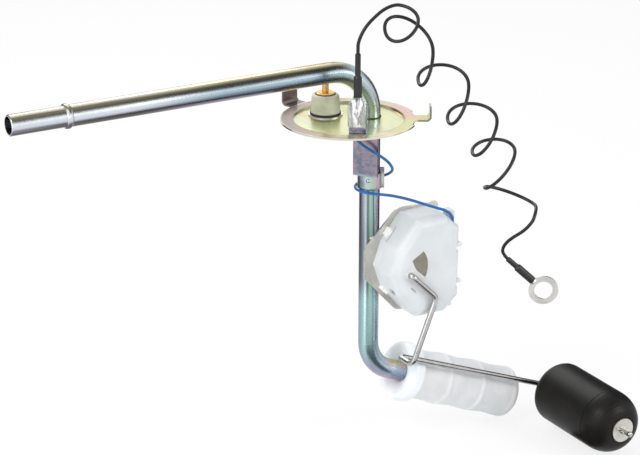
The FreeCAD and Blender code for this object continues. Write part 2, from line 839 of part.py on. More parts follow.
def edge_notch(middle):
    """Open notch in the housing's right edge, the wall behind it and the nib that fills its upper part."""
    low = middle - notch_height / 2
    high = middle + notch_height / 2
    floor = housing_front - notch_depth
    cut = sender_prism([(floor, low), (housing_front + 3, low), (housing_front + 3, high), (floor, high)],
                       plate_front_y + 1, housing_face_y - 1)
    inner = floor - housing_wall
    outer = housing_front - housing_wall / 2
    wall_low = low - housing_wall
    wall_high = high + housing_wall
    backing = sender_prism([(inner, wall_low), (outer, wall_low), (outer, wall_high), (inner, wall_high)],
                           plate_front_y, housing_face_y + housing_wall)
    tip = housing_front + nib_reach - nib_height / 2
    nib_top = high - nib_reach / 2
    nib_low = nib_top - nib_height
    nib_front = housing_face_y + housing_wall / 2
    nib = sender_prism([(floor - 0.5, nib_low), (tip, nib_low), (tip, nib_top), (floor - 0.5, nib_top)],
                       plate_front_y, nib_front)
    end = Part.makeCylinder(nib_height / 2, plate_front_y - nib_front,
                            sender_point(tip, (nib_low + nib_top) / 2, plate_front_y), vec(0, -1, 0))
    return backing, cut, nib.fuse(end)


def slit_prism(ends, width, y_back, y_front):
    """Thin prism along the line between two points."""
    (a0, u0), (a1, u1) = ends
    length = math.hypot(a1 - a0, u1 - u0)
    side = (-(u1 - u0) / length * width / 2, (a1 - a0) / length * width / 2)
    corners = [(a0 - side[0], u0 - side[1]), (a1 - side[0], u1 - side[1]), (a1 + side[0], u1 + side[1]),
               (a0 + side[0], u0 + side[1])]
    return sender_prism(corners, y_back, y_front)


def corner_hook():
    """Blunt hook that stands out of the lower front corner."""
    y_front = housing_face_y + housing_wall
    bar = slit_prism([hook_root, hook_tip], 2 * hook_half, plate_front_y, y_front)
    end = Part.makeCylinder(hook_half, plate_front_y - y_front, sender_point(*hook_tip, plate_front_y),
                            vec(0, -1, 0))
    return bar.fuse(end)


def rounded_shell(inset, y_back, y_front, radius):
    """The housing's outline, drawn in by inset, with the edges of its front rounded."""
    shape = sender_prism(housing_outline(inset), y_back, y_front)
    edges = [e for e in shape.Edges if abs(e.BoundBox.YMin - y_front) < 1e-6
             and abs(e.BoundBox.YMax - y_front) < 1e-6]
    return shape.makeFillet(radius, edges)


def sender_housing():
    outside = rounded_shell(0, plate_front_y, housing_face_y, housing_edge_round)
    for start, upper in zip(latch_starts, (True, False)):
        outside = outside.fuse(cheek_block(start, start + latch_length, -0.5, latch_stand, plate_front_y,
                                           latch_front_y, upper))
    post = sender_prism(post_outline, post_back_y, post_front_y)
    outside = outside.fuse([post, corner_hook()])
    inside = rounded_shell(housing_wall, plate_front_y + 1, wall_inner_y, housing_inner_round)
    boss = Part.makeCylinder(pivot_boss_radius, pivot_boss_height + 0.5,
                             pivot_point(0, 0, housing_face_y + 0.5), vec(0, -1, 0))
    shape = outside.cut(inside).fuse(boss)
    shape = shape.cut(bearing_outline(slip, wall_inner_y + housing_inner_round, bearing_front_y))
    shape = shape.cut(sector_window(wall_inner_y + 1, housing_face_y - 1))
    pivot = Part.makeCylinder(wire_radius + pivot_slip, housing_wall + pivot_boss_height + 2,
                              pivot_point(0, 0, wall_inner_y + 1), vec(0, -1, 0))
    shape = shape.cut(pivot)
    for middle in notch_middles:
        backing, cut, nib = edge_notch(middle)
        shape = shape.fuse(backing).cut(cut).fuse(nib)
    slit = cheek_block(slit_start, slit_end, -2 * housing_wall, 1, slit_y, slit_y - slit_height, True)
    reach = housing_cheek_x + housing_wall
    square = sender_prism([(-housing_nose - 1, square_low), (reach, square_low), (reach, square_high),
                           (-housing_nose - 1, square_high)], square_back_y, square_front_y)
    mark = slit_prism(face_slit, face_slit_width, wall_inner_y + 1, housing_face_y - 1)
    port = Part.makeCylinder(signal_radius + wire_port_ease, wire_port_length,
                             grip_start - wire_arrival * wire_port_length, wire_arrival)
    return solid_of(shape.cut(slit).cut(square).cut(mark).cut(port))


# Mechanism
def radial(angle):
    return math.cos(math.radians(angle)), math.sin(math.radians(angle))


def arc_band(inner, outer, middle, half_angle, y_back, y_front):
    """Part of a flat ring about the pivot; the middle angle turns from +X towards +Z."""
    edges = []
    spots = []
    for radius in (inner, outer):
        spots.append([pivot_point(radius * radial(a)[0], radius * radial(a)[1], y_back)
                      for a in (middle - half_angle, middle, middle + half_angle)])
    low, high = spots
    edges.append(Part.Arc(low[0], low[1], low[2]).toShape())
    edges.append(Part.LineSegment(low[2], high[2]).toShape())
    edges.append(Part.Arc(high[2], high[1], high[0]).toShape())
    edges.append(Part.LineSegment(high[0], low[0]).toShape())
    return Part.Face(Part.Wire(edges)).extrude(vec(0, y_front - y_back, 0))


card_back_y = plate_front_y - card_stand
card_front_y = card_back_y - card_thickness
wall_inner_y = housing_face_y + housing_wall
bearing_front_y = housing_face_y + window_wall
bearing_back_y = bearing_front_y + bearing_sheet
hub_front_y = bearing_back_y + inner_gap
hub_back_y = plate_front_y - inner_gap
contact_y = card_front_y - contact_lift
terminal_out_y = housing_face_y + terminal_from_face


def resistor_card():
    card = arc_band(card_inner_radius, card_outer_radius, 0, card_half_angle, card_back_y, card_front_y)
    feet = [arc_band(card_inner_radius, card_outer_radius, side * card_half_angle * 0.85, 4,
                     plate_front_y, card_back_y) for side in (-1, 1)]
    pitch = 2 * winding_half_angle / winding_count
    ridges = []
    for step in range(winding_count):
        angle = pitch * (step + 0.5) - winding_half_angle
        ridges.append(arc_band(card_inner_radius + winding_edge, card_outer_radius - winding_edge, angle,
                               pitch * 0.27, card_front_y, card_front_y - winding_height))
    return solid_of(card.fuse(feet + ridges))


def strip_corners(start, end):
    """Outline of a strip along the terminal's radial line."""
    run, rise = radial(terminal_angle)
    half = terminal_width / 2
    corners = []
    for along, side in ((start, -half), (end, -half), (end, half), (start, half)):
        corners.append((run * along - rise * side, rise * along + run * side))
    return corners


def terminal_strip(start, end, y_back):
    return pivot_prism(strip_corners(start, end), y_back, y_back - terminal_sheet)


def terminal_tip():
    run, rise = radial(terminal_angle)
    return pivot_point(run * terminal_tip_radius, rise * terminal_tip_radius, terminal_out_y - terminal_sheet / 2)


wire_last = vec(*signal_route[-1])
wire_arrival = (terminal_tip() - wire_last).normalize()
grip_start = terminal_tip() - wire_arrival * (terminal_grip / 2)


def card_terminal():
    """Strip that stands on the card's end and grips the blue wire just inside the corner wall."""
    riser_at = card_outer_radius + inner_gap
    foot = terminal_strip(card_inner_radius + 1, riser_at + terminal_sheet, card_front_y)
    riser = pivot_prism(strip_corners(riser_at, riser_at + terminal_sheet), card_front_y,
                         terminal_out_y - terminal_sheet)
    out = terminal_strip(riser_at, terminal_tip_radius, terminal_out_y)
    grip = Part.makeCylinder(signal_radius + lug_barrel_wall, terminal_grip, grip_start, wire_arrival)
    return solid_of(foot.fuse([riser, out, grip]))


def bearing_outline(ease, y_back, y_front):
    """Sector and eye about the pivot, widened by ease on every side."""
    spread = bearing_half_angle + math.degrees(ease / bearing_radius)
    sector = arc_band(bearing_eye_radius * 0.5, bearing_radius + ease, bearing_middle, spread, y_back, y_front)
    eye = Part.makeCylinder(bearing_eye_radius + ease, y_back - y_front, pivot_point(0, 0, y_back),
                            vec(0, -1, 0))
    return sector.fuse(eye)


def bearing_plate():
    """Metal sheet let into the back of the front wall: it carries the pivot and shows in the window."""
    hole = Part.makeCylinder(wire_radius + pivot_slip, housing_depth + pivot_boss_height,
                             pivot_point(0, 0, plate_front_y), vec(0, -1, 0))
    return solid_of(bearing_outline(0, bearing_back_y, bearing_front_y).cut(hole))


def contact_shape(ease):
    """Tapered leaf that runs out from the hub, thickened by ease on every side."""
    run, rise = radial(contact_angle)
    root_half = contact_width / 2 + ease
    tip_half = contact_width * contact_taper / 2 + ease
    corners = []
    for along, side in ((contact_root, -root_half), (contact_tip, -tip_half), (contact_tip, tip_half),
                        (contact_root, root_half)):
        corners.append((run * along - rise * side, rise * along + run * side))
    return pivot_prism(corners, contact_y + ease, contact_y - contact_sheet - ease)


def contact_spring():
    run, rise = radial(contact_angle)
    middle = (card_inner_radius + card_outer_radius) / 2
    tip_y = card_front_y - winding_height - contact_air
    base = pivot_point(run * middle, rise * middle, tip_y)
    pip = Part.makeCylinder(contact_pip_radius, tip_y - (contact_y - contact_sheet), base, vec(0, -1, 0))
    return solid_of(contact_shape(0).fuse(pip))


def rotor_hub():
    forward = vec(0, -1, 0)
    hub = Part.makeCylinder(hub_radius, hub_back_y - hub_front_y, pivot_point(0, 0, hub_back_y), forward)
    bore = Part.makeCylinder(wire_radius + hub_bore_slip, hub_back_y - hub_front_y,
                             pivot_point(0, 0, hub_back_y), forward)
    return solid_of(hub.cut(bore).cut(contact_shape(hub_bore_slip)))


# Float arm
float_rear_y = arm_back_y - arm_bend_radius - float_end_gap
float_front_y = float_rear_y - float_length
washer_back_y = float_front_y - float_end_gap / 2
washer_front_y = washer_back_y - washer_thickness
wire_end_y = washer_front_y - wire_tail


def crimp_wings():
    """Two flat wings pinched out of the wire, just past the washer."""
    back = washer_front_y - crimp_gap
    front = back - crimp_length
    shoulder = (crimp_width / 2 - wire_radius) / 2
    outline = []
    for side, y in ((-1, back - shoulder), (-0.3, back), (0.3, back), (1, back - shoulder),
                    (1, front + shoulder), (0.3, front), (-0.3, front), (-1, front + shoulder)):
        outline.append(vec(float_x + side * crimp_width / 2, y, float_z - crimp_thickness / 2))
    return polygon(outline).extrude(vec(0, 0, crimp_thickness))


def arm_wire():
    """One bent wire: pivot, crank down the housing's face, long arm and the pin through the float."""
    points = [pivot_point(0, 0, hub_back_y), pivot_point(0, 0, arm_front_y),
              vec(knee_x, arm_front_y, knee_z), vec(ankle_x, arm_front_y, ankle_z),
              vec(ankle_x, arm_back_y, ankle_z), vec(float_x, arm_back_y, float_z),
              vec(float_x, wire_end_y, float_z)]
    radii = [face_gap + wire_radius] + [arm_bend_radius] * (len(points) - 3)
    wire = bent_rod(points, radii, wire_radius)
    tip_edge = [e for e in wire.Edges if abs(e.CenterOfMass.y - wire_end_y) < 1e-3]
    return solid_of(wire.makeFillet(wire_radius * 0.6, tip_edge).fuse(crimp_wings()))


def elliptic(along, radius, run, rise, first, last, count=6):
    """Points on an elliptic arc about (along, radius), from the first angle to the last."""
    points = []
    for step in range(count + 1):
        angle = math.radians(first + (last - first) * step / count)
        points.append((along + run * math.cos(angle), radius + rise * math.sin(angle)))
    return points


def float_body():
    """Closed-cell float: rounded at the arm's end, domed at the other, with a seam where the dome starts."""
    corner = float_rear_round
    seam = float_length - float_front_round
    bore = wire_radius + float_bore_slip
    rear = elliptic(corner, float_radius - corner, corner, corner, 180, 90)
    groove = [(seam - float_seam_width, float_radius),
              (seam - float_seam_width / 2, float_radius - float_seam_depth)]
    dome = elliptic(seam, float_radius - float_front_rise, float_front_round, float_front_rise, 90, 0, 10)
    profile = [(0, bore)] + rear + groove + dome + [(float_length, bore)]
    return solid_of(turned(profile, vec(float_x, float_rear_y, float_z), vec(0, -1, 0), vec(1, 0, 0)))


def float_washer():
    base = vec(float_x, washer_back_y, float_z)
    ring = Part.makeCylinder(washer_radius, washer_thickness, base, vec(0, -1, 0))
    return ring.cut(Part.makeCylinder(wire_radius + slip, washer_thickness, base, vec(0, -1, 0)))


# Strainer
def strainer_collar():
    spigot = sleeve_waist - sleeve_skin - seat_gap
    bore = tube_radius + seat_gap / 2
    lip = collar_radius - collar_round
    face = [(collar_start + collar_dish, bore), (collar_start + 0.4, lip - 1.2)]
    shoulder = elliptic(collar_start + collar_round, lip, -collar_round, collar_round, collar_lip_angle, 90, 5)
    rest = [(collar_end - 0.8, collar_radius), (collar_end, collar_radius - 0.8), (collar_end, spigot),
            (spigot_end, spigot), (spigot_end, socket_radius), (socket_end, socket_radius),
            (socket_end, tube_radius - tube_wall), (intake_length + seat_gap, tube_radius - tube_wall),
            (intake_length + seat_gap, bore)]
    return solid_of(turned(face + shoulder + rest, lower_corner, intake_dir, intake_side))


def sleeve_outline(offset):
    """Radius of the sleeve along its length: a crest over each ring and a waist between."""
    marks = [(sleeve_start, sleeve_waist - offset)]
    before = sleeve_start
    for place in ring_places:
        marks.append(((before + place) / 2, sleeve_waist - offset))
        marks.append((place, sleeve_crest - offset))
        before = place
    return marks


def strainer_sleeve():
    outer = sleeve_outline(0)[:-1]
    inner = sleeve_outline(sleeve_skin)[:-1]
    last = ring_places[-1]
    outer_end = elliptic(last, 0, sleeve_end - last, sleeve_crest, 90, 0, 10)
    inner_end = elliptic(last, 0, sleeve_end - last - sleeve_skin, sleeve_crest - sleeve_skin, 90, 0, 10)
    profile = outer + outer_end[:-1] + [(sleeve_end, 0)]
    hollow = inner + inner_end[:-1] + [(sleeve_end - sleeve_skin, 0)]
    outside = turned(profile + [(sleeve_start, 0)], lower_corner, intake_dir, intake_side)
    inside = turned([(sleeve_start - 1, 0), (sleeve_start - 1, hollow[0][1])] + hollow[1:], lower_corner,
                    intake_dir, intake_side)
    return solid_of(outside.cut(inside))


def strainer_frame():
    """Rings that hold the sleeve open, on ribs that stand on the collar's spigot."""
    pieces = []
    for place in ring_places:
        outer = sleeve_crest - sleeve_skin - seat_gap
        start = intake_point(place - frame_ring_width / 2)
        if place == ring_places[-1]:
            outer -= frame_end_ease
            start = intake_point(place - frame_ring_width)
        ring = Part.makeCylinder(outer, frame_ring_width, start, intake_dir)
        inside = Part.makeCylinder(outer - frame_ring_depth, frame_ring_width, start, intake_dir)
        pieces.append(ring.cut(inside))
    reach = sleeve_waist - sleeve_skin - seat_gap - frame_rib_width / 2 - 0.2
    length = ring_places[-1] - spigot_end
    up = intake_side.cross(intake_dir).normalize()
    for step in range(frame_rib_count):
        angle = 2 * math.pi * (step + 0.5) / frame_rib_count
        out = intake_side * math.cos(angle) + up * math.sin(angle)
        flat = out.cross(intake_dir).normalize()
        base = intake_point(spigot_end) + out * reach
        half = frame_rib_width / 2
        corners = [base - out * half - flat * half, base + out * half - flat * half,
                   base + out * half + flat * half, base - out * half + flat * half]
        pieces.append(polygon(corners).extrude(intake_dir * length))
    return solid_of(pieces[0].fuse(pieces[1:]))


signal_points = [vec(*p) for p in signal_route] + [grip_start]

parts = {
    "mounting_plate": mounting_plate(),
    "pickup_tube": pickup_tube(),
    "tube_bracket": tube_bracket(),
    "terminal_washer": washer(ring_radius, spigot_radius + slip, floor_top, ring_top),
    "terminal_seal": washer(seal_radius, spigot_radius + slip, ring_top, seal_top),
    "terminal_insulator": terminal_insulator(),
    "terminal_stud": terminal_stud(),
    "terminal_bush": washer(bush_radius, stud_radius + slip, bush_bottom, floor_bottom),
    "signal_lug": signal_lug(),
    "terminal_nut": terminal_nut(),
    "signal_wire": signal_wire(),
    "ground_blade": ground_blade(),
    "spade_receptacle": spade_receptacle(),
    "spade_sleeve": spade_sleeve(),
    "lead_boot": lead_boot(),
    "lead_start": lead_solid([(0, boot_top)] + lead_start_route, lead_radius, "lead_start"),
    "lead_curl": lead_solid(curl_route, curl_radius, "lead_curl", curl_first_bend),
    "lead_end": lead_solid(lead_end_route, lead_radius, "lead_end"),
    "ring_boot": ring_boot(),
    "ring_terminal": ring_terminal(),
    "sender_plate": sender_plate(),
    "sender_housing": sender_housing(),
    "resistor_card": resistor_card(),
    "card_terminal": card_terminal(),
    "bearing_plate": bearing_plate(),
    "rotor_hub": rotor_hub(),
    "contact_spring": contact_spring(),
    "arm_wire": arm_wire(),
    "float": float_body(),
    "float_washer": float_washer(),
    "strainer_collar": strainer_collar(),
    "strainer_frame": strainer_frame(),
    "strainer_sleeve": strainer_sleeve(),
}

os.makedirs("parts", exist_ok=True)
for name, shape in parts.items():
    solid = shape.Solids[0] if shape.ShapeType != "Solid" else shape
    if not solid.isValid() or len(shape.Solids) != 1:
        print("check", name, "valid", solid.isValid(), "solids", len(shape.Solids))
    solid.exportStep("parts/" + name + ".step")
print("nodes", len(parts))
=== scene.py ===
# %% [markdown]
# # A fuel level sender, dressed in Blender
# The part hangs through the top of a fuel tank. A plated steel plate closes the opening, a bent tube
# draws the fuel through a strainer, and a float on a wire arm turns a contact inside a white housing.
# Its solids come ready made. This lesson gives every surface its finish, and models what a solid
# can't hold: the curly earth lead, the clear sleeve, the weld beads, a seal ring and a thread.

# %% Load the frame
import math

import bpy
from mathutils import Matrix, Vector


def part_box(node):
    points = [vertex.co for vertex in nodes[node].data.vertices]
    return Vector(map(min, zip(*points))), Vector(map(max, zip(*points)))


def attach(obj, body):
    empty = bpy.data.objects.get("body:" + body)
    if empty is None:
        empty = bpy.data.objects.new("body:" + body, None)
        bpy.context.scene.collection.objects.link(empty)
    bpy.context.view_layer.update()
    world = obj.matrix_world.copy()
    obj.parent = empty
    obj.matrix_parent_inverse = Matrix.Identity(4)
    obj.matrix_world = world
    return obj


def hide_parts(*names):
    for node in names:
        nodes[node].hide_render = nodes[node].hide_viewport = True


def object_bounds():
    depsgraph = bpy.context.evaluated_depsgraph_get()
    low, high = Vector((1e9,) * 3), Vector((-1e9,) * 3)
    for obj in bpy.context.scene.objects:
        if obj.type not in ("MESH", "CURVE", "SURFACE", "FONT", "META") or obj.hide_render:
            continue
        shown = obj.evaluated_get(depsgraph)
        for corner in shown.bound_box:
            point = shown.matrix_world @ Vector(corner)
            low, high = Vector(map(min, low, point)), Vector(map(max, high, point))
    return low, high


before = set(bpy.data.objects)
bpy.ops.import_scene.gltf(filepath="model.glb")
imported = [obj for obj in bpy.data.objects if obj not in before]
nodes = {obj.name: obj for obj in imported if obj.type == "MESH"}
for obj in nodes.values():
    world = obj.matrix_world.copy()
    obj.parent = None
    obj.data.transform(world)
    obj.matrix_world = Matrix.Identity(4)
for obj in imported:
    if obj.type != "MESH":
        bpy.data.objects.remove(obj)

cad_low, cad_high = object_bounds()
print("nodes", len(nodes), "size in mm", [round(v * 1000, 1) for v in cad_high - cad_low])

# %% [markdown]
# ## Camera
# The photograph was taken with a long lens from the front left, a little above the plate. A camera in
# Blender looks along its own -Z axis, so the direction of view is turned into a rotation for it. The
# level directions to the right and to the back of the view are kept, because lamps and finishes use
# them.

# %% Camera
MM = 0.001
camera_place = Vector((-467.40, -775.59, 287.17)) * MM
camera_forward = Vector((0.47174, 0.80890, -0.35092))
lens_mm, sensor_mm = 118.125, 36.0

camera_data = bpy.data.cameras.new("camera")
camera_data.lens = lens_mm
camera_data.sensor_width = sensor_mm
camera = bpy.data.objects.new("camera", camera_data)
camera.location = camera_place
camera.rotation_mode = "QUATERNION"
camera.rotation_quaternion = camera_forward.to_track_quat("-Z", "Y")
bpy.context.scene.collection.objects.link(camera)
bpy.context.scene.camera = camera

to_right = Vector((camera_forward.y, -camera_forward.x, 0)).normalized()
to_back = Vector((camera_forward.x, camera_forward.y, 0)).normalized()
print("camera looks down by", round(math.degrees(math.asin(-camera_forward.z)), 1), "degrees")

# %% [markdown]
# ## Shader arithmetic
# A finish is a small sum: a base colour, plus a share of another where a pattern says so. Wires
# between Math nodes hide that sum, so a small class wraps an output socket and lets Python's own
# signs add the nodes. Each sign has its reflected form too, so that 1 - mask works as mask - 1 does.

# %% A class that writes node arithmetic
class Signal:
    """One output of a shader node. Signs between signals and numbers add Math nodes."""

    def __init__(self, socket):
        self.socket = socket
        self.tree = socket.id_data

    def maths(self, operation, *values):
        return Finish(self.tree).node("ShaderNodeMath", {"operation": operation},
                                      dict(enumerate(values)))

    def __add__(self, other):
        return self.maths("ADD", self, other)

    def __sub__(self, other):
        return self.maths("SUBTRACT", self, other)

    def __rsub__(self, other):
        return self.maths("SUBTRACT", other, self)

    def __mul__(self, other):
        return self.maths("MULTIPLY", self, other)

    def __truediv__(self, other):
        return self.maths("DIVIDE", self, other)

    def __rtruediv__(self, other):
        return self.maths("DIVIDE", other, self)

    def __pow__(self, other):
        return self.maths("POWER", self, other)

    def __rpow__(self, other):
        return self.maths("POWER", other, self)

    def absolute(self):
        return self.maths("ABSOLUTE", self)

    def sine(self):
        return self.maths("SINE", self)

    def or_more(self, other):
        """The larger of the two."""
        return self.maths("MAXIMUM", self, other)

    def between(self, low, high):
        """0 below low, 1 above high and smooth in between; high may be the lower one."""
        return Finish(self.tree).node("ShaderNodeMapRange", {"interpolation_type": "SMOOTHSTEP"},
                                      {"Value": self, "From Min": low, "From Max": high}, "Result")

    __radd__ = __add__
    __rmul__ = __mul__


print("a signal can", [name for name, value in vars(Signal).items() if callable(value)])

# %% [markdown]
# ### Every other node
# Most nodes are made in the same way: add one, set its choices, then fill its sockets with numbers or
# links. One method does that for any kind of node. The others are short names for the nodes that the
# finishes below use again and again. Every pattern reads Object coordinates, which are metres on the
# part itself, so it stays where it is when the part moves.

# %% A class that writes any node
class Finish:
    """A material's node tree while it is being written."""

    def __init__(self, tree):
        self.tree = tree

    def node(self, kind, settings=None, inputs=None, output=0):
        made = self.tree.nodes.new(kind)
        for key, value in (settings or {}).items():
            if key == "stops":
                self.set_stops(made.color_ramp, value)
            else:
                setattr(made, key, value)
        for key, value in (inputs or {}).items():
            if isinstance(value, Signal):
                self.tree.links.new(value.socket, made.inputs[key])
            else:
                made.inputs[key].default_value = value
        return Signal(made.outputs[output])

    def set_stops(self, ramp, stops):
        while len(ramp.elements) < len(stops):
            ramp.elements.new(0.5)
        for element, (place, colour) in zip(ramp.elements, stops):
            element.position = place
            element.color = colour

    def place(self):
        return self.node("ShaderNodeTexCoord", output="Object")

    def mapped(self, centre=(0, 0, 0), turn=(0, 0, 0), scale=(1, 1, 1)):
        """Object coordinates about a centre, turned, with lengths drawn out where scale is above 1."""
        return self.node("ShaderNodeMapping", {"vector_type": "TEXTURE"},
                         {"Vector": self.place(), "Location": centre, "Rotation": turn, "Scale": scale})

    def split(self, vector):
        """The three numbers of a vector."""
        parts = self.node("ShaderNodeSeparateXYZ", inputs={"Vector": vector})
        return [Signal(socket) for socket in parts.socket.node.outputs]

    def facing(self, direction):
        """How far the surface faces a direction of the object: 1 towards it, -1 away from it."""
        normal = self.node("ShaderNodeTexCoord", output="Normal")
        return self.node("ShaderNodeVectorMath", {"operation": "DOT_PRODUCT"},
                         {0: normal, 1: direction}, "Value")

    def distance(self, spot):
        """How far the surface is from a place, in metres."""
        return self.node("ShaderNodeVectorMath", {"operation": "DISTANCE"},
                         {0: self.place(), 1: spot}, "Value")

    def noise(self, size, detail=3.0, roughness=0.5, vector=None, distortion=0.0):
        """Soft noise whose blots are about size metres across."""
        return self.node("ShaderNodeTexNoise", inputs={
            "Vector": vector or self.place(), "Scale": 1.0 / size, "Detail": detail,
            "Roughness": roughness, "Distortion": distortion})

    def mix(self, share, first, second):
        """Colour that goes from the first to the second as share goes from 0 to 1."""
        return self.node("ShaderNodeMix", {"data_type": "RGBA"},
                         {"Factor": share, "A": first, "B": second}, "Result")

    def colours(self, share, stops):
        """Colour read from a ramp, whose stops are pairs of a place from 0 to 1 and a colour."""
        return self.node("ShaderNodeValToRGB", {"stops": stops}, {"Fac": share}, "Color")

    def bump(self, height, distance, strength=1.0):
        return self.node("ShaderNodeBump", inputs={"Height": height, "Distance": distance,
                                                   "Strength": strength})


print("a finish can", [name for name, value in vars(Finish).items() if callable(value)])

# %% [markdown]
# ### Colours and materials
# A colour is written as a screen shows it, and a shader reckons in amounts of light, so each colour
# is converted. A material here is one Principled shader. What is the same all over the surface is set
# on the shader, and what changes is linked to it.

# %% Colours and materials
def srgb(red, green, blue):
    """A colour as it is seen, 0 to 255, turned into the linear values that shaders take."""
    linear = []
    for value in (red, green, blue):
        share = value / 255
        linear.append(share / 12.92 if share <= 0.04045 else ((share + 0.055) / 1.055) ** 2.4)
    return (*linear, 1.0)


def new_material(name, constants, varied=None):
    """A Principled material: constants sit on its own sockets, varied(finish) gives the links."""
    material = bpy.data.materials.new(name)
    material.use_nodes = True
    tree = material.node_tree
    shader = tree.nodes["Principled BSDF"]
    for key, value in constants.items():
        shader.inputs[key].default_value = value
    if varied is not None:
        for key, signal in varied(Finish(tree)).items():
            tree.links.new(signal.socket, shader.inputs[key])
    material.diffuse_color = shader.inputs["Base Color"].default_value
    print("material", name, "nodes", len(tree.nodes))
    return material


print("paper white in linear values", [round(v, 3) for v in srgb(240, 240, 240)[:3]])

# %% [markdown]
# ## The room
# The photograph is a product shot: the part floats on white under large soft lamps. The floor is a
# pale sheet just under the lowest point. Most of what the camera sees of it is an even white, and the
# rest is a plain lit surface, so that it keeps the part's soft shadow. The world is white where it is
# seen or mirrored and weaker where it only fills the shadows.

# %% Floor
white = (1.0, 1.0, 1.0, 1.0)
floor_gap = 2.0 * MM
floor_size = 12.0
floor_plain_share = 0.80

bpy.ops.object.select_all(action="DESELECT")
bpy.ops.mesh.primitive_plane_add(size=floor_size, location=(0, 0, cad_low.z - floor_gap))
floor = bpy.context.object
floor.name = "floor"
bpy.ops.object.transform_apply(location=True, rotation=True, scale=True)


def seen_directly(finish):
    """1 for a ray from the camera, a reflection or a clear piece, 0 for scattered light."""
    path = finish.node("ShaderNodeLightPath").socket.node
    camera_ray, glossy_ray, clear_ray = [
        Signal(path.outputs[f"Is {kind} Ray"]) for kind in ("Camera", "Glossy", "Transmission")]
    return camera_ray.or_more(glossy_ray).or_more(clear_ray)


def floor_material():
    material = bpy.data.materials.new("floor_paper")
    material.use_nodes = True
    tree = material.node_tree
    tree.nodes.clear()
    finish = Finish(tree)
    lit = finish.node("ShaderNodeBsdfDiffuse", inputs={"Color": srgb(246, 246, 246)})
    plain = finish.node("ShaderNodeEmission", inputs={"Color": white, "Strength": 1.0})
    share = seen_directly(finish) * floor_plain_share
    surface = finish.node("ShaderNodeMixShader", inputs={0: share, 1: lit, 2: plain})
    end = tree.nodes.new("ShaderNodeOutputMaterial")
    tree.links.new(surface.socket, end.inputs["Surface"])
    return material


floor.data.materials.append(floor_material())
print("floor at z", round(floor.data.vertices[0].co.z, 4))

# %% World
fill_level = 0.62
world = bpy.data.worlds.new("studio")
bpy.context.scene.world = world
world.use_nodes = True
world.node_tree.nodes.clear()
sky = Finish(world.node_tree)
direct = seen_directly(sky)
glow = sky.node("ShaderNodeBackground", inputs={
    "Color": white, "Strength": direct + (1 - direct) * fill_level})
sky_end = world.node_tree.nodes.new("ShaderNodeOutputWorld")
world.node_tree.links.new(glow.socket, sky_end.inputs["Surface"])
print("world fills shadows at", fill_level)

# %% [markdown]
# ## Lamps and flags
# Bright plating shows what stands round it. A product photographer sets large lamps for the light
# bands and dark cards, called flags, for the dark edges. The lamps are area lamps turned to the part's
# middle. Two weak ones at the left front are there for their mirror images: one stands close to the
# tube's foot and draws a bright line there, and the other draws one along the arm wire.

# %% Lamps
scene_centre = (cad_low + cad_high) / 2


def around(right, back, up):
    """A place so many metres to the right of, behind and above the part's middle."""
    return scene_centre + to_right * right + to_back * back + Vector((0, 0, up))


def add_lamp(name, place, size, power):
    """Area lamp: its width and height in metres and its power in watts."""
    data = bpy.data.lights.new(name, "AREA")
    data.shape = "RECTANGLE"
    data.size, data.size_y = size
    data.energy = power
    lamp = bpy.data.objects.new(name, data)
    lamp.location = place
    lamp.rotation_mode = "QUATERNION"
    lamp.rotation_quaternion = (scene_centre - place).to_track_quat("-Z", "Y")
    lamp.visible_camera = False
    bpy.context.scene.collection.objects.link(lamp)


add_lamp("key_lamp", around(-0.55, -0.55, 0.75), size=(0.50, 0.50), power=4.9)
add_lamp("side_lamp", around(0.85, -0.35, 0.45), size=(0.35, 0.70), power=4.0)
add_lamp("back_lamp", around(-0.25, 0.80, 0.70), size=(0.70, 0.35), power=3.0)

tube_foot = Vector((12, 0, -122)) * MM
low_turn, low_distance = math.radians(-41), 0.13
low_way = to_right * math.sin(low_turn) - to_back * math.cos(low_turn)
add_lamp("low_lamp", tube_foot + low_way * low_distance, size=(0.02, 0.06), power=0.012)

arm_middle = Vector((26, -26, -103)) * MM
arm_way, arm_distance = Vector((-0.916, -0.283, 0.283)), 0.5
add_lamp("arm_lamp", arm_middle + arm_way * arm_distance, size=(0.40, 0.12), power=0.24)

# %% [markdown]
# ### Flags
# A flag is a plane with a dark matt finish. Switches on the object keep it out of the camera's sight,
# the scattered light and the shadows, so that only mirror images show it. Two stand behind the part,
# left and right, one hangs above and in front of the outlet, and one lies on the floor in front of the
# tube's foot.

# %% Flags
flag_card = new_material("flag_card", {"Base Color": srgb(84, 84, 90), "Roughness": 0.9,
                                       "Specular IOR Level": 0.0})


def add_flag(name, place, size, faces=None):
    """Dark card; it turns to the part's middle unless it is told where to face."""
    bpy.ops.object.select_all(action="DESELECT")
    bpy.ops.mesh.primitive_plane_add(size=1.0, location=place)
    flag = bpy.context.object
    flag.name = name
    flag.rotation_mode = "QUATERNION"
    flag.rotation_quaternion = (faces or scene_centre - place).to_track_quat("Z", "Y")
    flag.scale = (size[0], size[1], 1)
    bpy.ops.object.transform_apply(location=True, rotation=True, scale=True)
    flag.data.materials.append(flag_card)
    flag.visible_camera = False
    flag.visible_diffuse = False
    flag.visible_shadow = False
    flag.visible_transmission = False


def bearing(degrees, distance, up):
    """A place so many degrees round the part from the camera's side, at a level distance."""
    turn = math.radians(degrees)
    return around(math.sin(turn) * distance, -math.cos(turn) * distance, up)


add_flag("left_rear_flag", bearing(-128, 0.30, -0.02), size=(0.20, 0.36))
add_flag("right_rear_flag", bearing(136, 0.30, -0.02), size=(0.20, 0.36))

outlet_middle = Vector((-70, 0, 23)) * MM
outlet_flag = outlet_middle + Vector((0.25, -0.28, 0.36))
add_flag("outlet_flag", outlet_flag, size=(0.55, 0.30), faces=outlet_middle - outlet_flag)

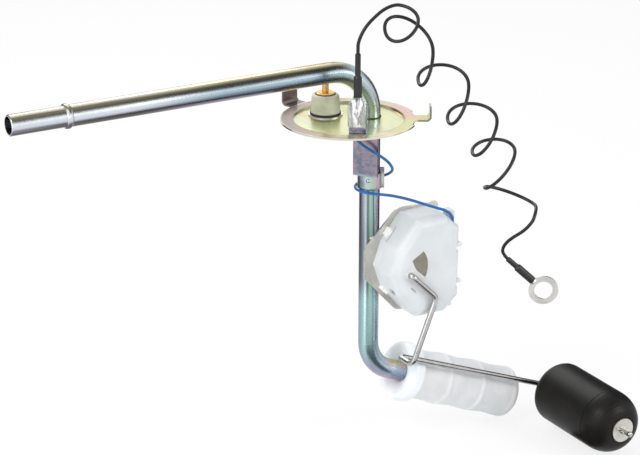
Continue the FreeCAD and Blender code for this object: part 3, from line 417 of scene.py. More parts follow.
low_flag = Vector((0.02, -0.085, cad_low.z - floor_gap / 2))
add_flag("low_flag", low_flag, size=(0.16, 0.09), faces=Vector((0, 0, 1)))

# %% [markdown]
# ## Plated steel
# The plate, tube and bracket are zinc plated and dipped in chromate, which dries as a film so thin
# that it shows colours like oil on water. The film's colour changes with its thickness. A ramp is read
# at a place set by the direction that the surface faces, shifted by noise, and the light and dark bands
# that this gives are painted reflections of the studio, laid over the film's colours. The plate's floor
# faces one way all over, so its film follows noise alone. Its raised rim takes other colours round the
# circle by the side that faces the camera: painted reflections and shade. Its tabs are duller.

# %% Chromate film, and the plate
metal = {"Metallic": 1.0}


def streaks(finish, size, stretch):
    """Noise from -0.5 to 0.5, drawn out along the axis where stretch is large."""
    return finish.noise(size, 2.0, 0.5, finish.mapped(scale=stretch)) - 0.5


def film_and_reflection(finish, facing, drift, stops):
    """Film colour with painted reflection bands, by the direction faced, from -1 at the ramp's start to
    1 at its end.
    """
    return finish.colours((facing + drift) * 0.5 + 0.5, stops)


floor_radius, rim_radius, step_blend = 25.3 * MM, 31.0 * MM, 0.3 * MM


def plate_finish(finish):
    x, y, z = finish.split(finish.place())
    radius = (x * x + y * y) ** 0.5
    thickness = finish.noise(17 * MM, 2.0, 0.45, finish.mapped(scale=(1, 2.5, 1)), 0.4)
    floor_film = finish.colours(thickness, [
        (0.34, srgb(192, 194, 134)), (0.48, srgb(212, 214, 168)), (0.58, srgb(202, 210, 178)),
        (0.68, srgb(208, 194, 154))])
    # The rim's colours round the circle are set by the camera's side: painted reflections and shade.
    towards_left = (x * -to_right.x - y * to_right.y) / rim_radius
    rim_film_and_reflection = film_and_reflection(finish, towards_left, streaks(finish, 8 * MM, (1, 1, 1)) * 1.2, [
        (0.12, srgb(192, 176, 160)), (0.40, srgb(208, 202, 170)), (0.62, srgb(184, 174, 154)),
        (0.80, srgb(164, 152, 140)), (0.95, srgb(150, 138, 132))])
    on_rim = radius.between(floor_radius - step_blend, floor_radius + step_blend)
    back = x * to_back.x + y * to_back.y
    right_film_and_reflection = finish.mix(back.between(-7 * MM, 5 * MM), srgb(202, 202, 146), srgb(212, 180, 170))
    rim_film_and_reflection = finish.mix(towards_left.between(-0.45, -0.80), rim_film_and_reflection, right_film_and_reflection)
    # A painted highlight, near white, along the rim's outer edge.
    edge = radius.between(rim_radius - 0.6 * MM, rim_radius) * towards_left.between(-0.985, -0.975)
    on_tab = radius.between(rim_radius + 0.15 * MM, rim_radius + 0.35 * MM)
    on_rear_tab = on_tab * y.between(10 * MM, 14 * MM)
    tab_film_and_reflection = finish.mix(z.between(1.2 * MM, 2.6 * MM), srgb(206, 188, 130), srgb(166, 164, 148))
    # A tab face that looks towards the camera is painted a darker green: painted reflection.
    tab_film_and_reflection = finish.mix(finish.facing(-to_back).between(0.5, 0.8), tab_film_and_reflection, srgb(122, 138, 118))
    # The rear tab is painted darker all over.
    rear_tab_dark = finish.mix(thickness, srgb(88, 80, 80), srgb(148, 132, 130))
    # Painted shade: a darker line where the floor steps up to the rim.
    step = (radius - floor_radius).absolute().between(0.7 * MM, 0.2 * MM)
    rolling = finish.noise(1.6 * MM, 2.0, 0.5, finish.mapped(scale=(1.0, 12.0, 1.0)))
    colour = finish.mix(on_rim, floor_film, rim_film_and_reflection)
    colour = finish.mix(step * 0.35, colour, srgb(120, 112, 92))
    colour = finish.mix(edge * 0.6, colour, srgb(238, 232, 214))
    colour = finish.mix(on_tab, colour, tab_film_and_reflection)
    colour = finish.mix(on_rear_tab, colour, rear_tab_dark)
    return {"Base Color": colour, "Roughness": rolling * 0.10 + 0.2,
            "Normal": finish.bump(rolling, 0.004 * MM, 0.3)}


zinc_gold = new_material("zinc_gold", metal, plate_finish)

# %% [markdown]
# ### The tube
# A tube is drawn through a die, which leaves fine lines along it, so its streaks are stretched nine
# times along each run. The runs differ, and their bands, read by the direction that the surface faces,
# are painted reflections of the studio over the film's colours: the outlet is pale at its side and dark
# below, the top run is pink underneath with a painted highlight in gold on top, the upright run has
# greenish bands between painted dark lines, and the lower bend is pink, blue and gold. Each run has a
# ramp of its own, and masks by place blend one run into the next.

# %% The tube
# Where one colour gives way to the next, along X for the first two and along Z for the others.
to_outlet = -60 * MM, -112 * MM
to_top_run = 6 * MM, -10 * MM
to_low_bend = -112 * MM, -126 * MM
under_plate = -2 * MM, 2 * MM
below_sender = -78 * MM, -92 * MM
sender_top, sender_bottom = (-40 * MM, -60 * MM), (-92 * MM, -74 * MM)


def tube_finish(finish):
    x, _, z = finish.split(finish.place())
    upright = film_and_reflection(finish, finish.facing(to_right), streaks(finish, 5 * MM, (1, 1, 9)) * 0.2, [
        (0.0, srgb(86, 82, 96)), (0.05, srgb(80, 74, 88)), (0.13, srgb(128, 132, 146)),
        (0.26, srgb(172, 186, 192)), (0.38, srgb(146, 162, 168)), (0.42, srgb(70, 84, 92)),
        (0.46, srgb(128, 156, 148)), (0.54, srgb(170, 198, 172)), (0.64, srgb(144, 182, 174)),
        (0.71, srgb(82, 96, 104)), (0.76, srgb(178, 194, 204)), (0.90, srgb(168, 158, 180)),
        (1.0, srgb(70, 58, 72))])
    along_tube = streaks(finish, 5 * MM, (9, 1, 1))
    # The cream and gold stops near this ramp's end are a painted highlight along the top run.
    level = film_and_reflection(finish, finish.facing((0, 0, 1)), along_tube * 0.14, [
        (0.04, srgb(200, 164, 172)), (0.16, srgb(146, 140, 154)), (0.28, srgb(98, 108, 120)),
        (0.42, srgb(126, 142, 154)), (0.52, srgb(162, 186, 196)), (0.60, srgb(136, 152, 162)),
        (0.68, srgb(96, 102, 106)), (0.90, srgb(106, 104, 92)), (0.955, srgb(178, 168, 134)),
        (0.98, srgb(214, 202, 172)), (0.995, srgb(168, 156, 118)), (1.0, srgb(118, 110, 84))])
    outlet = film_and_reflection(finish, finish.facing((0, 0, 1)), along_tube * 0.10, [
        (0.06, srgb(72, 68, 62)), (0.20, srgb(88, 84, 80)), (0.32, srgb(126, 126, 128)),
        (0.44, srgb(208, 212, 226)), (0.60, srgb(216, 222, 230)), (0.72, srgb(186, 190, 190)),
        (0.80, srgb(124, 120, 104)), (0.90, srgb(116, 110, 92)), (0.96, srgb(208, 204, 194)),
        (1.0, srgb(148, 142, 122))])
    level = finish.mix(x.between(*to_outlet), level, outlet)
    low_bend = film_and_reflection(finish, finish.facing((0, 0, 1)), streaks(finish, 6 * MM, (1, 1, 1)) * 0.5, [
        (0.08, srgb(200, 158, 174)), (0.30, srgb(150, 150, 176)), (0.55, srgb(174, 190, 206)),
        (0.72, srgb(190, 190, 206)), (0.92, srgb(214, 190, 132))])
    # Painted shade: the upright is darker where it stands behind the sender.
    painted_sender_shade = z.between(*sender_top) * z.between(*sender_bottom)
    upright = finish.mix(painted_sender_shade * 0.4, upright, srgb(54, 68, 76))
    # Painted reflection: pale cyan on the upright below the sender.
    upright = finish.mix(z.between(*below_sender) * 0.45, upright, srgb(176, 220, 222))
    upright = finish.mix(z.between(*under_plate) * 0.55, upright, srgb(190, 208, 210))
    colour = finish.mix(x.between(*to_top_run), upright, level)
    colour = finish.mix(z.between(*to_low_bend) * 0.85, colour, low_bend)
    drawn = finish.noise(0.8 * MM, 3.0, 0.6, finish.mapped(scale=(4, 1, 4)))
    return {"Base Color": colour, "Roughness": drawn * 0.12 + 0.22,
            "Normal": finish.bump(drawn, 0.008 * MM, 0.4)}


zinc_bright = new_material("zinc_bright", metal, tube_finish)

# %% [markdown]
# ### The bracket and the blade
# The bracket is a folded strip that ends in a band round the tube. Its web shows a speckle of grey,
# blue and violet. Its band's pale film colours are read by the way it faces to the camera's right or
# left, so they are painted reflections. The blade stands on the plate on a foot that is a darker
# violet, and its upper part is nearly silver. Its Metallic value is below 1, so that it stays pale
# where it mirrors dark things.

# %% The bracket and the blade
# Where the band and the foot begin, along Z.
blade_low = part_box("ground_blade")[0]
to_band = -26 * MM, -28.5 * MM
to_foot = blade_low.z + 3.2 * MM, blade_low.z + 2.2 * MM


def bracket_finish(finish):
    z = finish.split(finish.place())[2]
    cloud = finish.noise(9 * MM, 2.0, 0.5, finish.mapped(centre=(0.02, 0.0, 0.04)))
    speckle = finish.colours(finish.noise(2.2 * MM, 4.0, 0.7), [
        (0.36, srgb(104, 112, 128)), (0.48, srgb(126, 128, 142)), (0.60, srgb(152, 134, 148))])
    near_plate = (z + cloud * 8 * MM).between(-16 * MM, -1 * MM)
    web = finish.mix(near_plate * 0.6, speckle, srgb(180, 154, 170))
    # The band's colours by the way it faces are painted reflections.
    band = film_and_reflection(finish, finish.facing(to_right), cloud - 0.5, [
        (0.10, srgb(120, 124, 138)), (0.40, srgb(186, 208, 206)), (0.62, srgb(176, 196, 176)),
        (0.85, srgb(196, 164, 182))])
    colour = finish.mix(z.between(*to_band), web, band)
    grain = finish.noise(0.5 * MM, 4.0, 0.6)
    return {"Base Color": colour, "Roughness": grain * 0.16 + 0.24,
            "Normal": finish.bump(grain, 0.015 * MM, 0.4)}


def blade_finish(finish):
    z = finish.split(finish.place())[2]
    clouds = finish.noise(3 * MM, 2.0, 0.5)
    grain = finish.noise(0.5 * MM, 3.0, 0.6)
    upper = finish.colours(clouds, [(0.3, srgb(176, 184, 220)), (0.5, srgb(222, 214, 226)),
                                    (0.7, srgb(206, 222, 216))])
    foot = finish.mix(clouds.between(0.35, 0.65), srgb(116, 110, 146), srgb(170, 168, 204))
    return {"Base Color": finish.mix(z.between(*to_foot), upper, foot),
            "Roughness": grain * 0.14 + 0.2, "Normal": finish.bump(grain, 0.012 * MM, 0.4)}


zinc_grey = new_material("zinc_grey", metal, bracket_finish)
zinc_blue = new_material("zinc_blue", {"Metallic": 0.7}, blade_finish)


# %% [markdown]
# ## Bare metals
# The sender plate is dull rolled steel, the arm is drawn wire, the stud is turned brass and the
# terminals are tinned. One function writes them all: a fine grain gives the roughness and the bump,
# and the same grain with clouds nine times as large gives the colour. A stretch draws the grain out
# along the sender plate, or lays it in rings round the turned stud.

# %% Bare metals
def grained(low, high, size, rough, depth, stretch=(1, 1, 1)):
    """A metal with one grain: two colours, its size, roughness as least and span, and its depth."""

    def varied(finish):
        grain = finish.noise(size, 4.0, 0.6, finish.mapped(scale=stretch))
        clouds = finish.noise(size * 9, 2.0, 0.5)
        share = (grain * 0.5 + clouds * 0.5).between(0.3, 0.7)
        return {"Base Color": finish.mix(share, low, high),
                "Roughness": grain * rough[1] + rough[0],
                "Normal": finish.bump(grain, depth, 0.5)}

    return varied


steel_plain = new_material("steel_plain", metal, grained(
    srgb(196, 194, 188), srgb(214, 212, 206), size=0.45 * MM, rough=(0.36, 0.2), depth=0.015 * MM,
    stretch=(1, 1, 6)))
# steel_shaded is the same steel painted darker: painted shade on the bearing plate.
steel_shaded = new_material("steel_shaded", metal, grained(
    srgb(136, 130, 118), srgb(162, 156, 146), size=0.5 * MM, rough=(0.40, 0.2), depth=0.015 * MM))
wire_steel = new_material("wire_steel", metal, grained(
    srgb(170, 169, 168), srgb(202, 201, 199), size=0.4 * MM, rough=(0.12, 0.12), depth=0.01 * MM))
# The weld beads are painted dark green: painted shade in the gap at the tube's foot.
weld_painted_shade = new_material("weld_painted_shade", metal, grained(
    srgb(56, 74, 62), srgb(92, 104, 86), size=0.5 * MM, rough=(0.34, 0.2), depth=0.02 * MM))
brass_turned = new_material("brass_turned", metal, grained(
    srgb(208, 158, 84), srgb(232, 190, 118), size=0.3 * MM, rough=(0.16, 0.16), depth=0.012 * MM,
    stretch=(1, 1, 0.15)))
tinned_metal = new_material("tinned_metal", metal, grained(
    srgb(186, 184, 180), srgb(222, 220, 216), size=0.8 * MM, rough=(0.2, 0.22), depth=0.02 * MM))
spring_bronze = new_material("spring_bronze", metal, grained(
    srgb(176, 128, 84), srgb(204, 158, 108), size=0.4 * MM, rough=(0.24, 0.16), depth=0.01 * MM,
    stretch=(1, 4, 1)))

# %% [markdown]
# ## Plastics and rubber
# The housing and the strainer are nylon, which lets light in a little way before it comes back: the
# shader's subsurface light gives that soft look. Two latches stand clear of the housing's walls, and a
# whiter spot round each is a painted highlight. The seals, boots and cords are plain rubber and
# plastic, with slow clouds of colour and a fine grain.

# %% Plastics and rubber
def soft_skin(low, high, size, rough, depth, fine=0.35 * MM):
    """A moulded or rubber skin: clouds of two colours, of a size, and a fine grain of a depth."""

    def varied(finish):
        clouds = finish.noise(size, 3.0, 0.5)
        grain = finish.noise(fine, 3.0, 0.6)
        return {"Base Color": finish.mix(clouds.between(0.3, 0.7), low, high),
                "Roughness": grain * rough[1] + rough[0],
                "Normal": finish.bump(grain, depth, 0.5)}

    return varied


nylon = {"Subsurface Weight": 0.45, "Subsurface Radius": (1.0, 1.1, 1.25),
         "Subsurface Scale": 2.2 * MM, "IOR": 1.5}
cream_glow = {"Subsurface Weight": 0.3, "Subsurface Scale": 1.5 * MM}
white_moulding = new_material("white_moulding", nylon, soft_skin(
    srgb(228, 233, 237), srgb(238, 242, 245), size=14 * MM, rough=(0.34, 0.12), depth=0.01 * MM))
latch_spots = [Vector((16.3, -7.6, -54.6)) * MM, Vector((14.3, -7.6, -83.8)) * MM]
latch_reach = 3.0 * MM, 2.2 * MM
painted_latch_highlight = srgb(254, 254, 254)


def housing_finish(finish):
    """Cloudy nylon, with a painted highlight, a near-white spot, at each of the two latches."""
    cloudy = soft_skin(srgb(210, 215, 218), srgb(219, 223, 227), size=14 * MM, rough=(0.36, 0.12),
                       depth=0.01 * MM)
    skin = cloudy(finish)
    # Painted highlight: near each latch the colour goes to white.
    for spot in latch_spots:
        near = finish.distance(spot).between(*latch_reach)
        skin["Base Color"] = finish.mix(near, skin["Base Color"], painted_latch_highlight)
    return skin


housing_white = new_material("housing_white", nylon, housing_finish)
cream_plastic = new_material("cream_plastic", cream_glow, soft_skin(
    srgb(199, 201, 177), srgb(216, 218, 198), size=5 * MM, rough=(0.38, 0.16), depth=0.03 * MM))
black_rubber = new_material("black_rubber", {}, soft_skin(
    srgb(26, 25, 25), srgb(38, 37, 37), size=3 * MM, rough=(0.42, 0.2), depth=0.03 * MM))
black_shrink = new_material("black_shrink", {}, soft_skin(
    srgb(18, 18, 19), srgb(28, 28, 30), size=3 * MM, rough=(0.36, 0.18), depth=0.04 * MM,
    fine=0.6 * MM))
black_sheath = new_material("black_sheath", {"Specular IOR Level": 0.4}, soft_skin(
    srgb(14, 14, 14), srgb(24, 23, 23), size=4 * MM, rough=(0.30, 0.12), depth=0.02 * MM))
blue_sheath = new_material("blue_sheath", {}, soft_skin(
    srgb(0, 88, 152), srgb(4, 106, 178), size=6 * MM, rough=(0.34, 0.14), depth=0.02 * MM))
card_board = new_material("card_board", {}, soft_skin(
    srgb(120, 96, 60), srgb(142, 116, 76), size=4 * MM, rough=(0.5, 0.2), depth=0.03 * MM))


# %% [markdown]
# ### The float
# The float is closed-cell foam with a moulded skin, nearly black. Clouds and scuffs keep it from
# looking like one flat shape, and a low specular level keeps the lamps on it soft and dim.

# %% The float
def float_finish(finish):
    clouds = finish.noise(14 * MM, 3.0, 0.5)
    grain = finish.noise(0.6 * MM, 4.0, 0.6)
    scuffs = finish.noise(5 * MM, 4.0, 0.7, finish.mapped(scale=(1, 3, 1))).between(0.62, 0.74)
    return {"Base Color": finish.mix(clouds.between(0.3, 0.7), srgb(17, 16, 15), srgb(27, 25, 23)),
            "Roughness": grain * 0.12 + 0.34 + scuffs * 0.12,
            "Normal": finish.bump(grain * 0.6 + scuffs * 0.4, 0.03 * MM, 0.5)}


float_foam = new_material("float_foam", {"Specular IOR Level": 0.16}, float_finish)

# %% [markdown]
# ### Clear plastic
# The sleeve over the spade terminal is clear, and what shows of it is white glints and grey edges.
# Glass that bends light would do it too, but an export keeps it badly, and two thin walls are slow to
# render. So this is a shiny surface with the glints painted white, as painted highlights, and the
# corners and thin lines painted grey, as painted shade; its Alpha changes: high at the glints and
# corners, low between them. The sleeve stands turned on the plate, and a Mapping node turns the
# pattern with it.

# %% Clear plastic
sleeve_low, sleeve_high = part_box("spade_sleeve")
sleeve_middle = (sleeve_low + sleeve_high) / 2
sleeve_turn = math.radians(-37.0)


def sleeve_finish(finish):
    """Painted highlights: long white glints over grey, more solid where they are bright; painted shade
    in grey at the corners and along thin lines.
    """
    across = finish.split(finish.mapped(sleeve_middle, (0, 0, sleeve_turn)))[0]
    upright = finish.mapped(turn=(0, 0, sleeve_turn), scale=(1, 1, 3.5))
    streak = finish.noise(1.5 * MM, 2.0, 0.5, upright)
    # Painted highlight where the streaks are bright.
    glint = streak.between(0.44, 0.60)
    # Painted shade: thin dark lines along the streaks, and grey at the corners.
    line = (streak - 0.45).absolute().between(0.022, 0.006)
    ripple = finish.noise(2.0 * MM, 2.0, 0.5)
    corner = across.absolute().between(3.5 * MM, 4.1 * MM).or_more(line * 0.8)
    glints = finish.mix(glint, srgb(196, 202, 204), srgb(252, 253, 254))
    solid = glint * 0.66 + 0.16
    return {"Base Color": finish.mix(corner, glints, srgb(118, 122, 126)),
            "Alpha": solid.or_more(corner * 0.7),
            "Roughness": ripple * 0.10 + 0.03,
            "Normal": finish.bump(ripple, 0.25 * MM, 0.8)}


clear_sleeve = new_material("clear_sleeve", {"IOR": 1.5, "Specular IOR Level": 0.8}, sleeve_finish)

# %% [markdown]
# ### The strainer's cloth
# The strainer is a sleeve of woven nylon drawn over rings. Its threads are too fine to model one by
# one, so crossed sine waves make a fine grid of bumps. Where the cloth passes over a ring it stands
# out, and a white band there is a painted highlight; between the rings it falls in soft folds.
# Another sine, read along the strainer's own sloping line, finds those places.

# %% The strainer's cloth
tube_place = Vector((11.25, 0, 0)) * MM
low_corner = tube_place + Vector((0, 0, -123.6)) * MM
intake_slope = math.radians(22.5)
intake_line = Vector((math.cos(intake_slope), 0, -math.sin(intake_slope)))
cloth_place = low_corner + intake_line * 48 * MM
ring_pitch, thread_spacing = 20.6 * MM, 0.42 * MM


def mesh_finish(finish):
    """Woven plastic cloth, raised over each ring, where a painted highlight makes it white."""
    x, y, z = finish.split(finish.place())
    wave = 2 * math.pi / thread_spacing
    weave = (x * wave).sine() * (z * wave).sine() * 0.5 + (y * wave).sine() * 0.25
    clouds = finish.noise(9 * MM, 3.0, 0.5)
    along = (x - cloth_place.x) * intake_line.x + (z - cloth_place.z) * intake_line.z
    along = along + clouds * 2 * MM
    folds = finish.noise(5 * MM, 3.0, 0.6, finish.mapped(turn=(0, intake_slope, 0), scale=(1, 3, 3)))
    # Painted highlight: the cloth is painted near white where it rises over a ring.
    ridge = ((along / ring_pitch + 0.5) * 2 * math.pi).sine().between(0.86, 1.0)
    skin = finish.mix(clouds.between(0.35, 0.65), srgb(224, 229, 234), srgb(232, 236, 240))
    return {"Base Color": finish.mix(ridge * 0.7, skin, srgb(246, 249, 252)),
            "Roughness": clouds * 0.1 + 0.45,
            "Normal": finish.bump(weave * 0.02 + ridge + folds * 0.8, 0.5 * MM, 0.6)}


strainer_mesh = new_material("strainer_mesh", nylon, mesh_finish)

# %% [markdown]
# ## Giving each node its finish
# Every node of the CAD model came in with a plain finish. Its mesh's list of materials is cleared and
# gets the new one, which leaves the shape as it is. What is made of the same stuff shares a material.

# %% Finishes on the nodes
finish_of = {
    zinc_gold: ["mounting_plate"],
    zinc_bright: ["pickup_tube"],
    zinc_grey: ["tube_bracket"],
    zinc_blue: ["ground_blade"],
    steel_plain: ["terminal_washer", "sender_plate", "float_washer"],
    steel_shaded: ["bearing_plate"],
    wire_steel: ["arm_wire"],
    black_rubber: ["terminal_seal"],
    cream_plastic: ["terminal_insulator", "terminal_bush"],
    brass_turned: ["terminal_stud", "terminal_nut"],
    tinned_metal: ["signal_lug", "spade_receptacle", "ring_terminal", "card_terminal"],
    blue_sheath: ["signal_wire"],
    clear_sleeve: ["spade_sleeve"],
    black_shrink: ["lead_boot", "ring_boot"],
    black_sheath: ["lead_start", "lead_curl", "lead_end"],
    housing_white: ["sender_housing", "rotor_hub"],
    white_moulding: ["strainer_collar", "strainer_frame"],
    strainer_mesh: ["strainer_sleeve"],
    card_board: ["resistor_card"],
    spring_bronze: ["contact_spring"],
    float_foam: ["float"],
}
for material, names in finish_of.items():
    for name in names:
        data = nodes[name].data
        data.materials.clear()
        data.materials.append(material)
print("finished nodes", sum(len(names) for names in finish_of.values()), "of", len(nodes))

# %% [markdown]
# ## Modelling by hand, in code
# The small pieces below are modelled as they would be by hand: a primitive is put in its place, and
# edit mode shapes it. In code the mouse is replaced by tests, which select faces or edges by their
# place or their direction. These helpers hold the steps that every piece repeats.

# %% Modelling helpers
merge_distance = 0.002 * MM


def begin(name, adding, **settings):
    """Deselect everything, add a primitive and give it its name."""
    bpy.ops.object.select_all(action="DESELECT")
    adding(**settings)
    piece = bpy.context.object
    piece.name = name
    return piece


def settle():
    """Put the piece's place, turn and scale into its mesh, so the object sits at the origin."""
    bpy.ops.object.transform_apply(location=True, rotation=True, scale=True)


def pick(piece, kind, test):
    """Select in edit mode the faces or edges that pass a test."""
    bpy.ops.object.mode_set(mode="EDIT")
    bpy.ops.mesh.select_mode(type=kind)
    bpy.ops.mesh.select_all(action="DESELECT")
    bpy.ops.object.mode_set(mode="OBJECT")
    chosen = 0
    for element in piece.data.polygons if kind == "FACE" else piece.data.edges:
        element.select = test(element)
        chosen += element.select
    bpy.ops.object.mode_set(mode="EDIT")
    return chosen


def select_all_faces():
    bpy.ops.object.mode_set(mode="EDIT")
    bpy.ops.mesh.select_all(action="SELECT")


def modify(piece, kind, **settings):
    """Add a modifier, set it and apply it."""
    modifier = piece.modifiers.new(kind.lower(), kind)
    for key, value in settings.items():
        setattr(modifier, key, value)
    bpy.ops.object.modifier_apply(modifier=modifier.name)


def finish_piece(piece, body, material, smooth=50):
    """Recalculate normals, shade smooth, hang the piece on its body and give it its finish."""
    select_all_faces()
    bpy.ops.mesh.remove_doubles(threshold=merge_distance)
    bpy.ops.mesh.normals_make_consistent(inside=False)
    bpy.ops.object.mode_set(mode="OBJECT")
    bpy.ops.object.shade_smooth_by_angle(angle=math.radians(smooth))
    piece.data.materials.clear()
    piece.data.materials.append(material)
    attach(piece, body)
    print(piece.name, "faces", len(piece.data.polygons))


print("points closer than", merge_distance / MM, "mm are merged")

# %% [markdown]
# ## The clear sleeve
# A clear plastic sleeve is pushed over the spade terminal so that nothing can touch it. It is a flat
# box with rounded corners that narrows like a roof round the black boot. A cube gives the box and a
# bevel rounds its upright edges. The top face is extruded up and shrunk three times: twice for the
# roof and once for the neck. The ends are open, and Solidify gives the wall its thickness.

# %% Clear sleeve
sleeve_width, sleeve_depth, sleeve_wall = 8.5 * MM, 5.2 * MM, 0.4 * MM
sleeve_straight, sleeve_neck, sleeve_corner = 9.4 * MM, 1.0 * MM, 1.5 * MM
sleeve_box = Vector((sleeve_middle.x, sleeve_middle.y, sleeve_low.z + sleeve_straight / 2))

clear_cover = begin("clear_cover", bpy.ops.mesh.primitive_cube_add, size=1.0, location=sleeve_box)
clear_cover.scale = (sleeve_width, sleeve_depth, sleeve_straight)
settle()


def upright_edge(edge):
    ends = [clear_cover.data.vertices[index].co for index in edge.vertices]
    return abs(ends[0].z - ends[1].z) > sleeve_straight / 2


print("corners", pick(clear_cover, "EDGE", upright_edge))
bpy.ops.mesh.bevel(offset=sleeve_corner, segments=4)

# %% The sleeve's roof, wall and turn
sleeve_roof = sleeve_high.z - sleeve_low.z - sleeve_straight - sleeve_neck
roof_steps = [(sleeve_roof * 0.45, 0.84, 0.94), (sleeve_roof * 0.55, 0.62, 0.86),
              (sleeve_neck, 0.94, 0.94)]
pick(clear_cover, "FACE", lambda face: face.normal.z > 0.9)
for rise, wide, deep in roof_steps:
    bpy.ops.mesh.extrude_region_move(TRANSFORM_OT_translate={"value": (0, 0, rise)})
    bpy.ops.transform.resize(value=(wide, deep, 1), center_override=sleeve_middle)
pick(clear_cover, "FACE", lambda face: abs(face.normal.z) > 0.9)
bpy.ops.mesh.delete(type="ONLY_FACE")
select_all_faces()
bpy.ops.mesh.normals_make_consistent(inside=False)
bpy.ops.transform.rotate(value=-sleeve_turn, orient_axis="Z", center_override=sleeve_middle)
bpy.ops.object.mode_set(mode="OBJECT")
modify(clear_cover, "SOLIDIFY", thickness=sleeve_wall, offset=-1.0)
modify(clear_cover, "BEVEL", width=0.12 * MM, segments=2, angle_limit=math.radians(30))
finish_piece(clear_cover, "frame", clear_sleeve, smooth=35)
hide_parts("spade_sleeve")

# %% [markdown]
# ## Weld beads
# The tube is brazed into the plate, and the sender's plate is tacked to the tube. Molten metal never
# lies evenly: a torus gives the ring of filler, and moving its points a little at random, always with
# the same seed, gives it the hand of the welder. A subdivision then melts the facets together.

# %% Weld beads round the tube
def roughen(piece, distance, seed):
    """Move the points at random by up to a distance, then melt the facets together."""
    settle()
    select_all_faces()
    bpy.ops.transform.vertex_random(offset=distance, seed=seed)
    bpy.ops.object.mode_set(mode="OBJECT")
    modify(piece, "SUBSURF", levels=1, render_levels=1)


tube_skin = 4.76 * MM
bead_radius, bead_thickness, bead_sink = tube_skin + 0.10 * MM, 0.36 * MM, 0.05 * MM
plate_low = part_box("mounting_plate")[0]

for name, surface in (("upper_weld", 0.0), ("lower_weld", plate_low.z)):
    ring = begin(name, bpy.ops.mesh.primitive_torus_add, major_radius=bead_radius,
                 minor_radius=bead_thickness, major_segments=44, minor_segments=8,
                 location=tube_place + Vector((0, 0, surface - bead_sink)))
    roughen(ring, 0.12 * MM, seed=4)
    finish_piece(ring, "frame", weld_painted_shade)

# %% Tack welds of the sender's plate
tack_size = Vector((1.1, 0.5, 0.8)) * MM
tack_places = {"upper_tack": Vector((9.7, -4.75, -57.6)) * MM,
               "lower_tack": Vector((9.5, -4.75, -60.0)) * MM}

for name, place in tack_places.items():
    tack = begin(name, bpy.ops.mesh.primitive_ico_sphere_add, subdivisions=3, radius=1.0,
                 location=place)
    tack.scale = tack_size
    roughen(tack, 0.10 * MM, seed=7)
    finish_piece(tack, "frame", steel_plain)

# %% [markdown]
# ## The terminal's ring and thread
# A dark ring seals the brass flange in the mouth of the insulator. Below the plate the stud carries a
# thread for its nut. The Screw modifier sweeps a small triangle round the axis and up by one pitch a
# turn, which leaves the ridge that a die leaves on a bar. The two open ends are then filled.

# %% The ring round the stud's flange
stud_place = Vector((-4.95, 12.45, 0)) * MM
seal_radius, seal_thickness, seal_sink, seal_swell = 4.5 * MM, 0.34 * MM, 0.12 * MM, 1.3
mouth_place = stud_place + Vector((0, 0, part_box("terminal_insulator")[1].z))

flange_ring = begin("flange_ring", bpy.ops.mesh.primitive_torus_add, major_radius=seal_radius,
                    minor_radius=seal_thickness, major_segments=64, minor_segments=12,
                    location=mouth_place - Vector((0, 0, seal_sink)))
settle()
select_all_faces()
bpy.ops.transform.resize(value=(1, 1, seal_swell), center_override=mouth_place)
bpy.ops.object.mode_set(mode="OBJECT")
finish_piece(flange_ring, "frame", black_rubber)

# %% The stud's thread
stud_skin, thread_sink, thread_rise = 1.45 * MM, 0.10 * MM, 0.35 * MM
thread_pitch, thread_turns, thread_depth = 0.8 * MM, 4, 0.28 * MM
stud_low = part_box("terminal_stud")[0]

thread = begin("stud_thread", bpy.ops.mesh.primitive_circle_add, vertices=3, radius=thread_depth,
               fill_type="NOTHING", location=(stud_skin - thread_sink, 0, 0),
               rotation=(math.pi / 2, 0, 0))
settle()
modify(thread, "SCREW", screw_offset=thread_pitch, iterations=thread_turns, steps=24,
       render_steps=24, axis="Z", use_merge_vertices=False)
select_all_faces()
bpy.ops.transform.translate(value=stud_place + Vector((0, 0, stud_low.z + thread_rise)))
bpy.ops.mesh.select_mode(type="EDGE")
bpy.ops.mesh.select_all(action="DESELECT")
bpy.ops.mesh.select_non_manifold()
bpy.ops.mesh.edge_face_add()
bpy.ops.object.mode_set(mode="OBJECT")
finish_piece(thread, "frame", brass_turned, smooth=30)

# %% [markdown]
# ## The curly earth lead
# A lead that was wound round a rod keeps its curl. Its line is a helix with uneven turns, so the loop
# below walks from crest to crest: each crest is where the lead swings furthest to one side, and the
# half turn between two crests bows down in front or up behind. A NURBS curve of order 3 with end
# points kept makes one smooth line of the points, and its round bevel gives the thickness.

# %% Route of the lead
# The curl is laid out across the view: lead_dir points to its right and lead_side to its back.
blade_place = Vector((-6.9, -18.9, 0))
lead_dir = Vector((0.86384, -0.50377, 0))
lead_side = Vector((0.50377, 0.86384, 0))
lead_diameter = 1.56

# Millimetres: along the lead's way, up, and aside of it.
lead_rise = [(0, 36.4, 0), (0, 38.4, 0), (0, 40.4, 0), (0.6, 42.8, 0.2), (2.2, 46.2, 1.2),
             (4.5, 49.2, 2.6), (7.8, 52.1, 4.6), (11.6, 54.8, 6.6)]
lead_fall = [(74.6, -43.6, -7.4), (70.4, -47.0, -5.6), (67.2, -50.6, -3.4), (65.8, -54.4, -1.2),
             (66.1, -57.4, 0), (68.3, -59.8, 0)]

# The crests of the curl, along and up, and how deep the lead bows next to each.
crests = [(6.5, 52.1), (26.2, 51.7), (11.4, 48.1), (32.8, 38.2), (26.3, 25.1), (48.8, 22.6),
          (39.6, 7.0), (61.7, 6.4), (50.9, -8.8), (70.1, -8.1), (56.9, -25.7), (80.3, -34.5),
          (74.1, -48.8)]
bows = [4.4, 4.3, 6.5, 6.7, 4.1, 6.2, 4.3, 4.5, 2.3, 3.3, -0.7, -0.5, -0.2]
curl_depth = 8.5
first_turn, last_turn, points_per_half_turn = -0.5, 10.4, 9


def lead_place(along, up, aside):
    return (blade_place + lead_dir * along + lead_side * aside + Vector((0, 0, up))) * MM


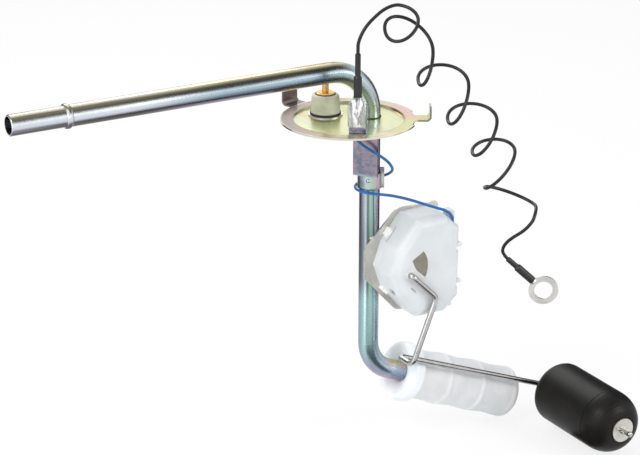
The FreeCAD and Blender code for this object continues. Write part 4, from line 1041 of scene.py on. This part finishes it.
def curl_point(turn):
    """Point of the curl after so many half turns, counted from the first crest on the right."""
    index = math.floor(turn) + 1
    share = turn + 1 - index
    swing = (1 - math.cos(math.pi * share)) / 2
    along = crests[index][0] + (crests[index + 1][0] - crests[index][0]) * swing
    up = crests[index][1] + (crests[index + 1][1] - crests[index][1]) * swing
    bow = bows[index] * (1 - share) + bows[index + 1] * share
    sway = math.sin(math.pi * turn)
    return along, up - bow * sway, -curl_depth * sway


turn_span = last_turn - first_turn
step_count = round(turn_span * points_per_half_turn)
curl = [curl_point(first_turn + turn_span * step / step_count) for step in range(step_count + 1)]
lead_points = [lead_place(*spot) for spot in lead_rise + curl + lead_fall]
print("lead points", len(lead_points))


# %% The lead as a curve
def cord_curve(name, points, diameter, material):
    """A round cord along a smooth line, with closed ends."""
    data = bpy.data.curves.new(name, "CURVE")
    data.dimensions = "3D"
    spline = data.splines.new("NURBS")
    spline.points.add(len(points) - 1)
    for knot, place in zip(spline.points, points):
        knot.co = (*place, 1.0)
    spline.order_u = 3
    spline.use_endpoint_u = True
    spline.resolution_u = 4
    data.bevel_depth = diameter * MM / 2
    data.bevel_resolution = 4
    data.use_fill_caps = True
    piece = bpy.data.objects.new(name, data)
    bpy.context.scene.collection.objects.link(piece)
    data.materials.append(material)
    return piece


def curve_length(piece):
    """Length along the smooth line, read from a copy with no bevel."""
    bare = piece.data.copy()
    bare.bevel_depth = 0
    probe = bpy.data.objects.new("probe", bare)
    line = bpy.data.meshes.new_from_object(probe)
    places = [v.co for v in line.vertices]
    total = sum((places[i + 1] - places[i]).length for i in range(len(places) - 1))
    bpy.data.objects.remove(probe)
    bpy.data.curves.remove(bare)
    bpy.data.meshes.remove(line)
    return total


curly_lead = cord_curve("curly_lead", lead_points, lead_diameter, black_sheath)
lead_length = curve_length(curly_lead)
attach(curly_lead, "frame")
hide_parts("lead_start", "lead_curl", "lead_end")
print("lead length in mm", round(lead_length * 1000, 1))

# %% [markdown]
# ## Colour management and closing
# The Standard view shows colours as they were written.

# %% Close
bpy.context.scene.view_settings.view_transform = "Standard"
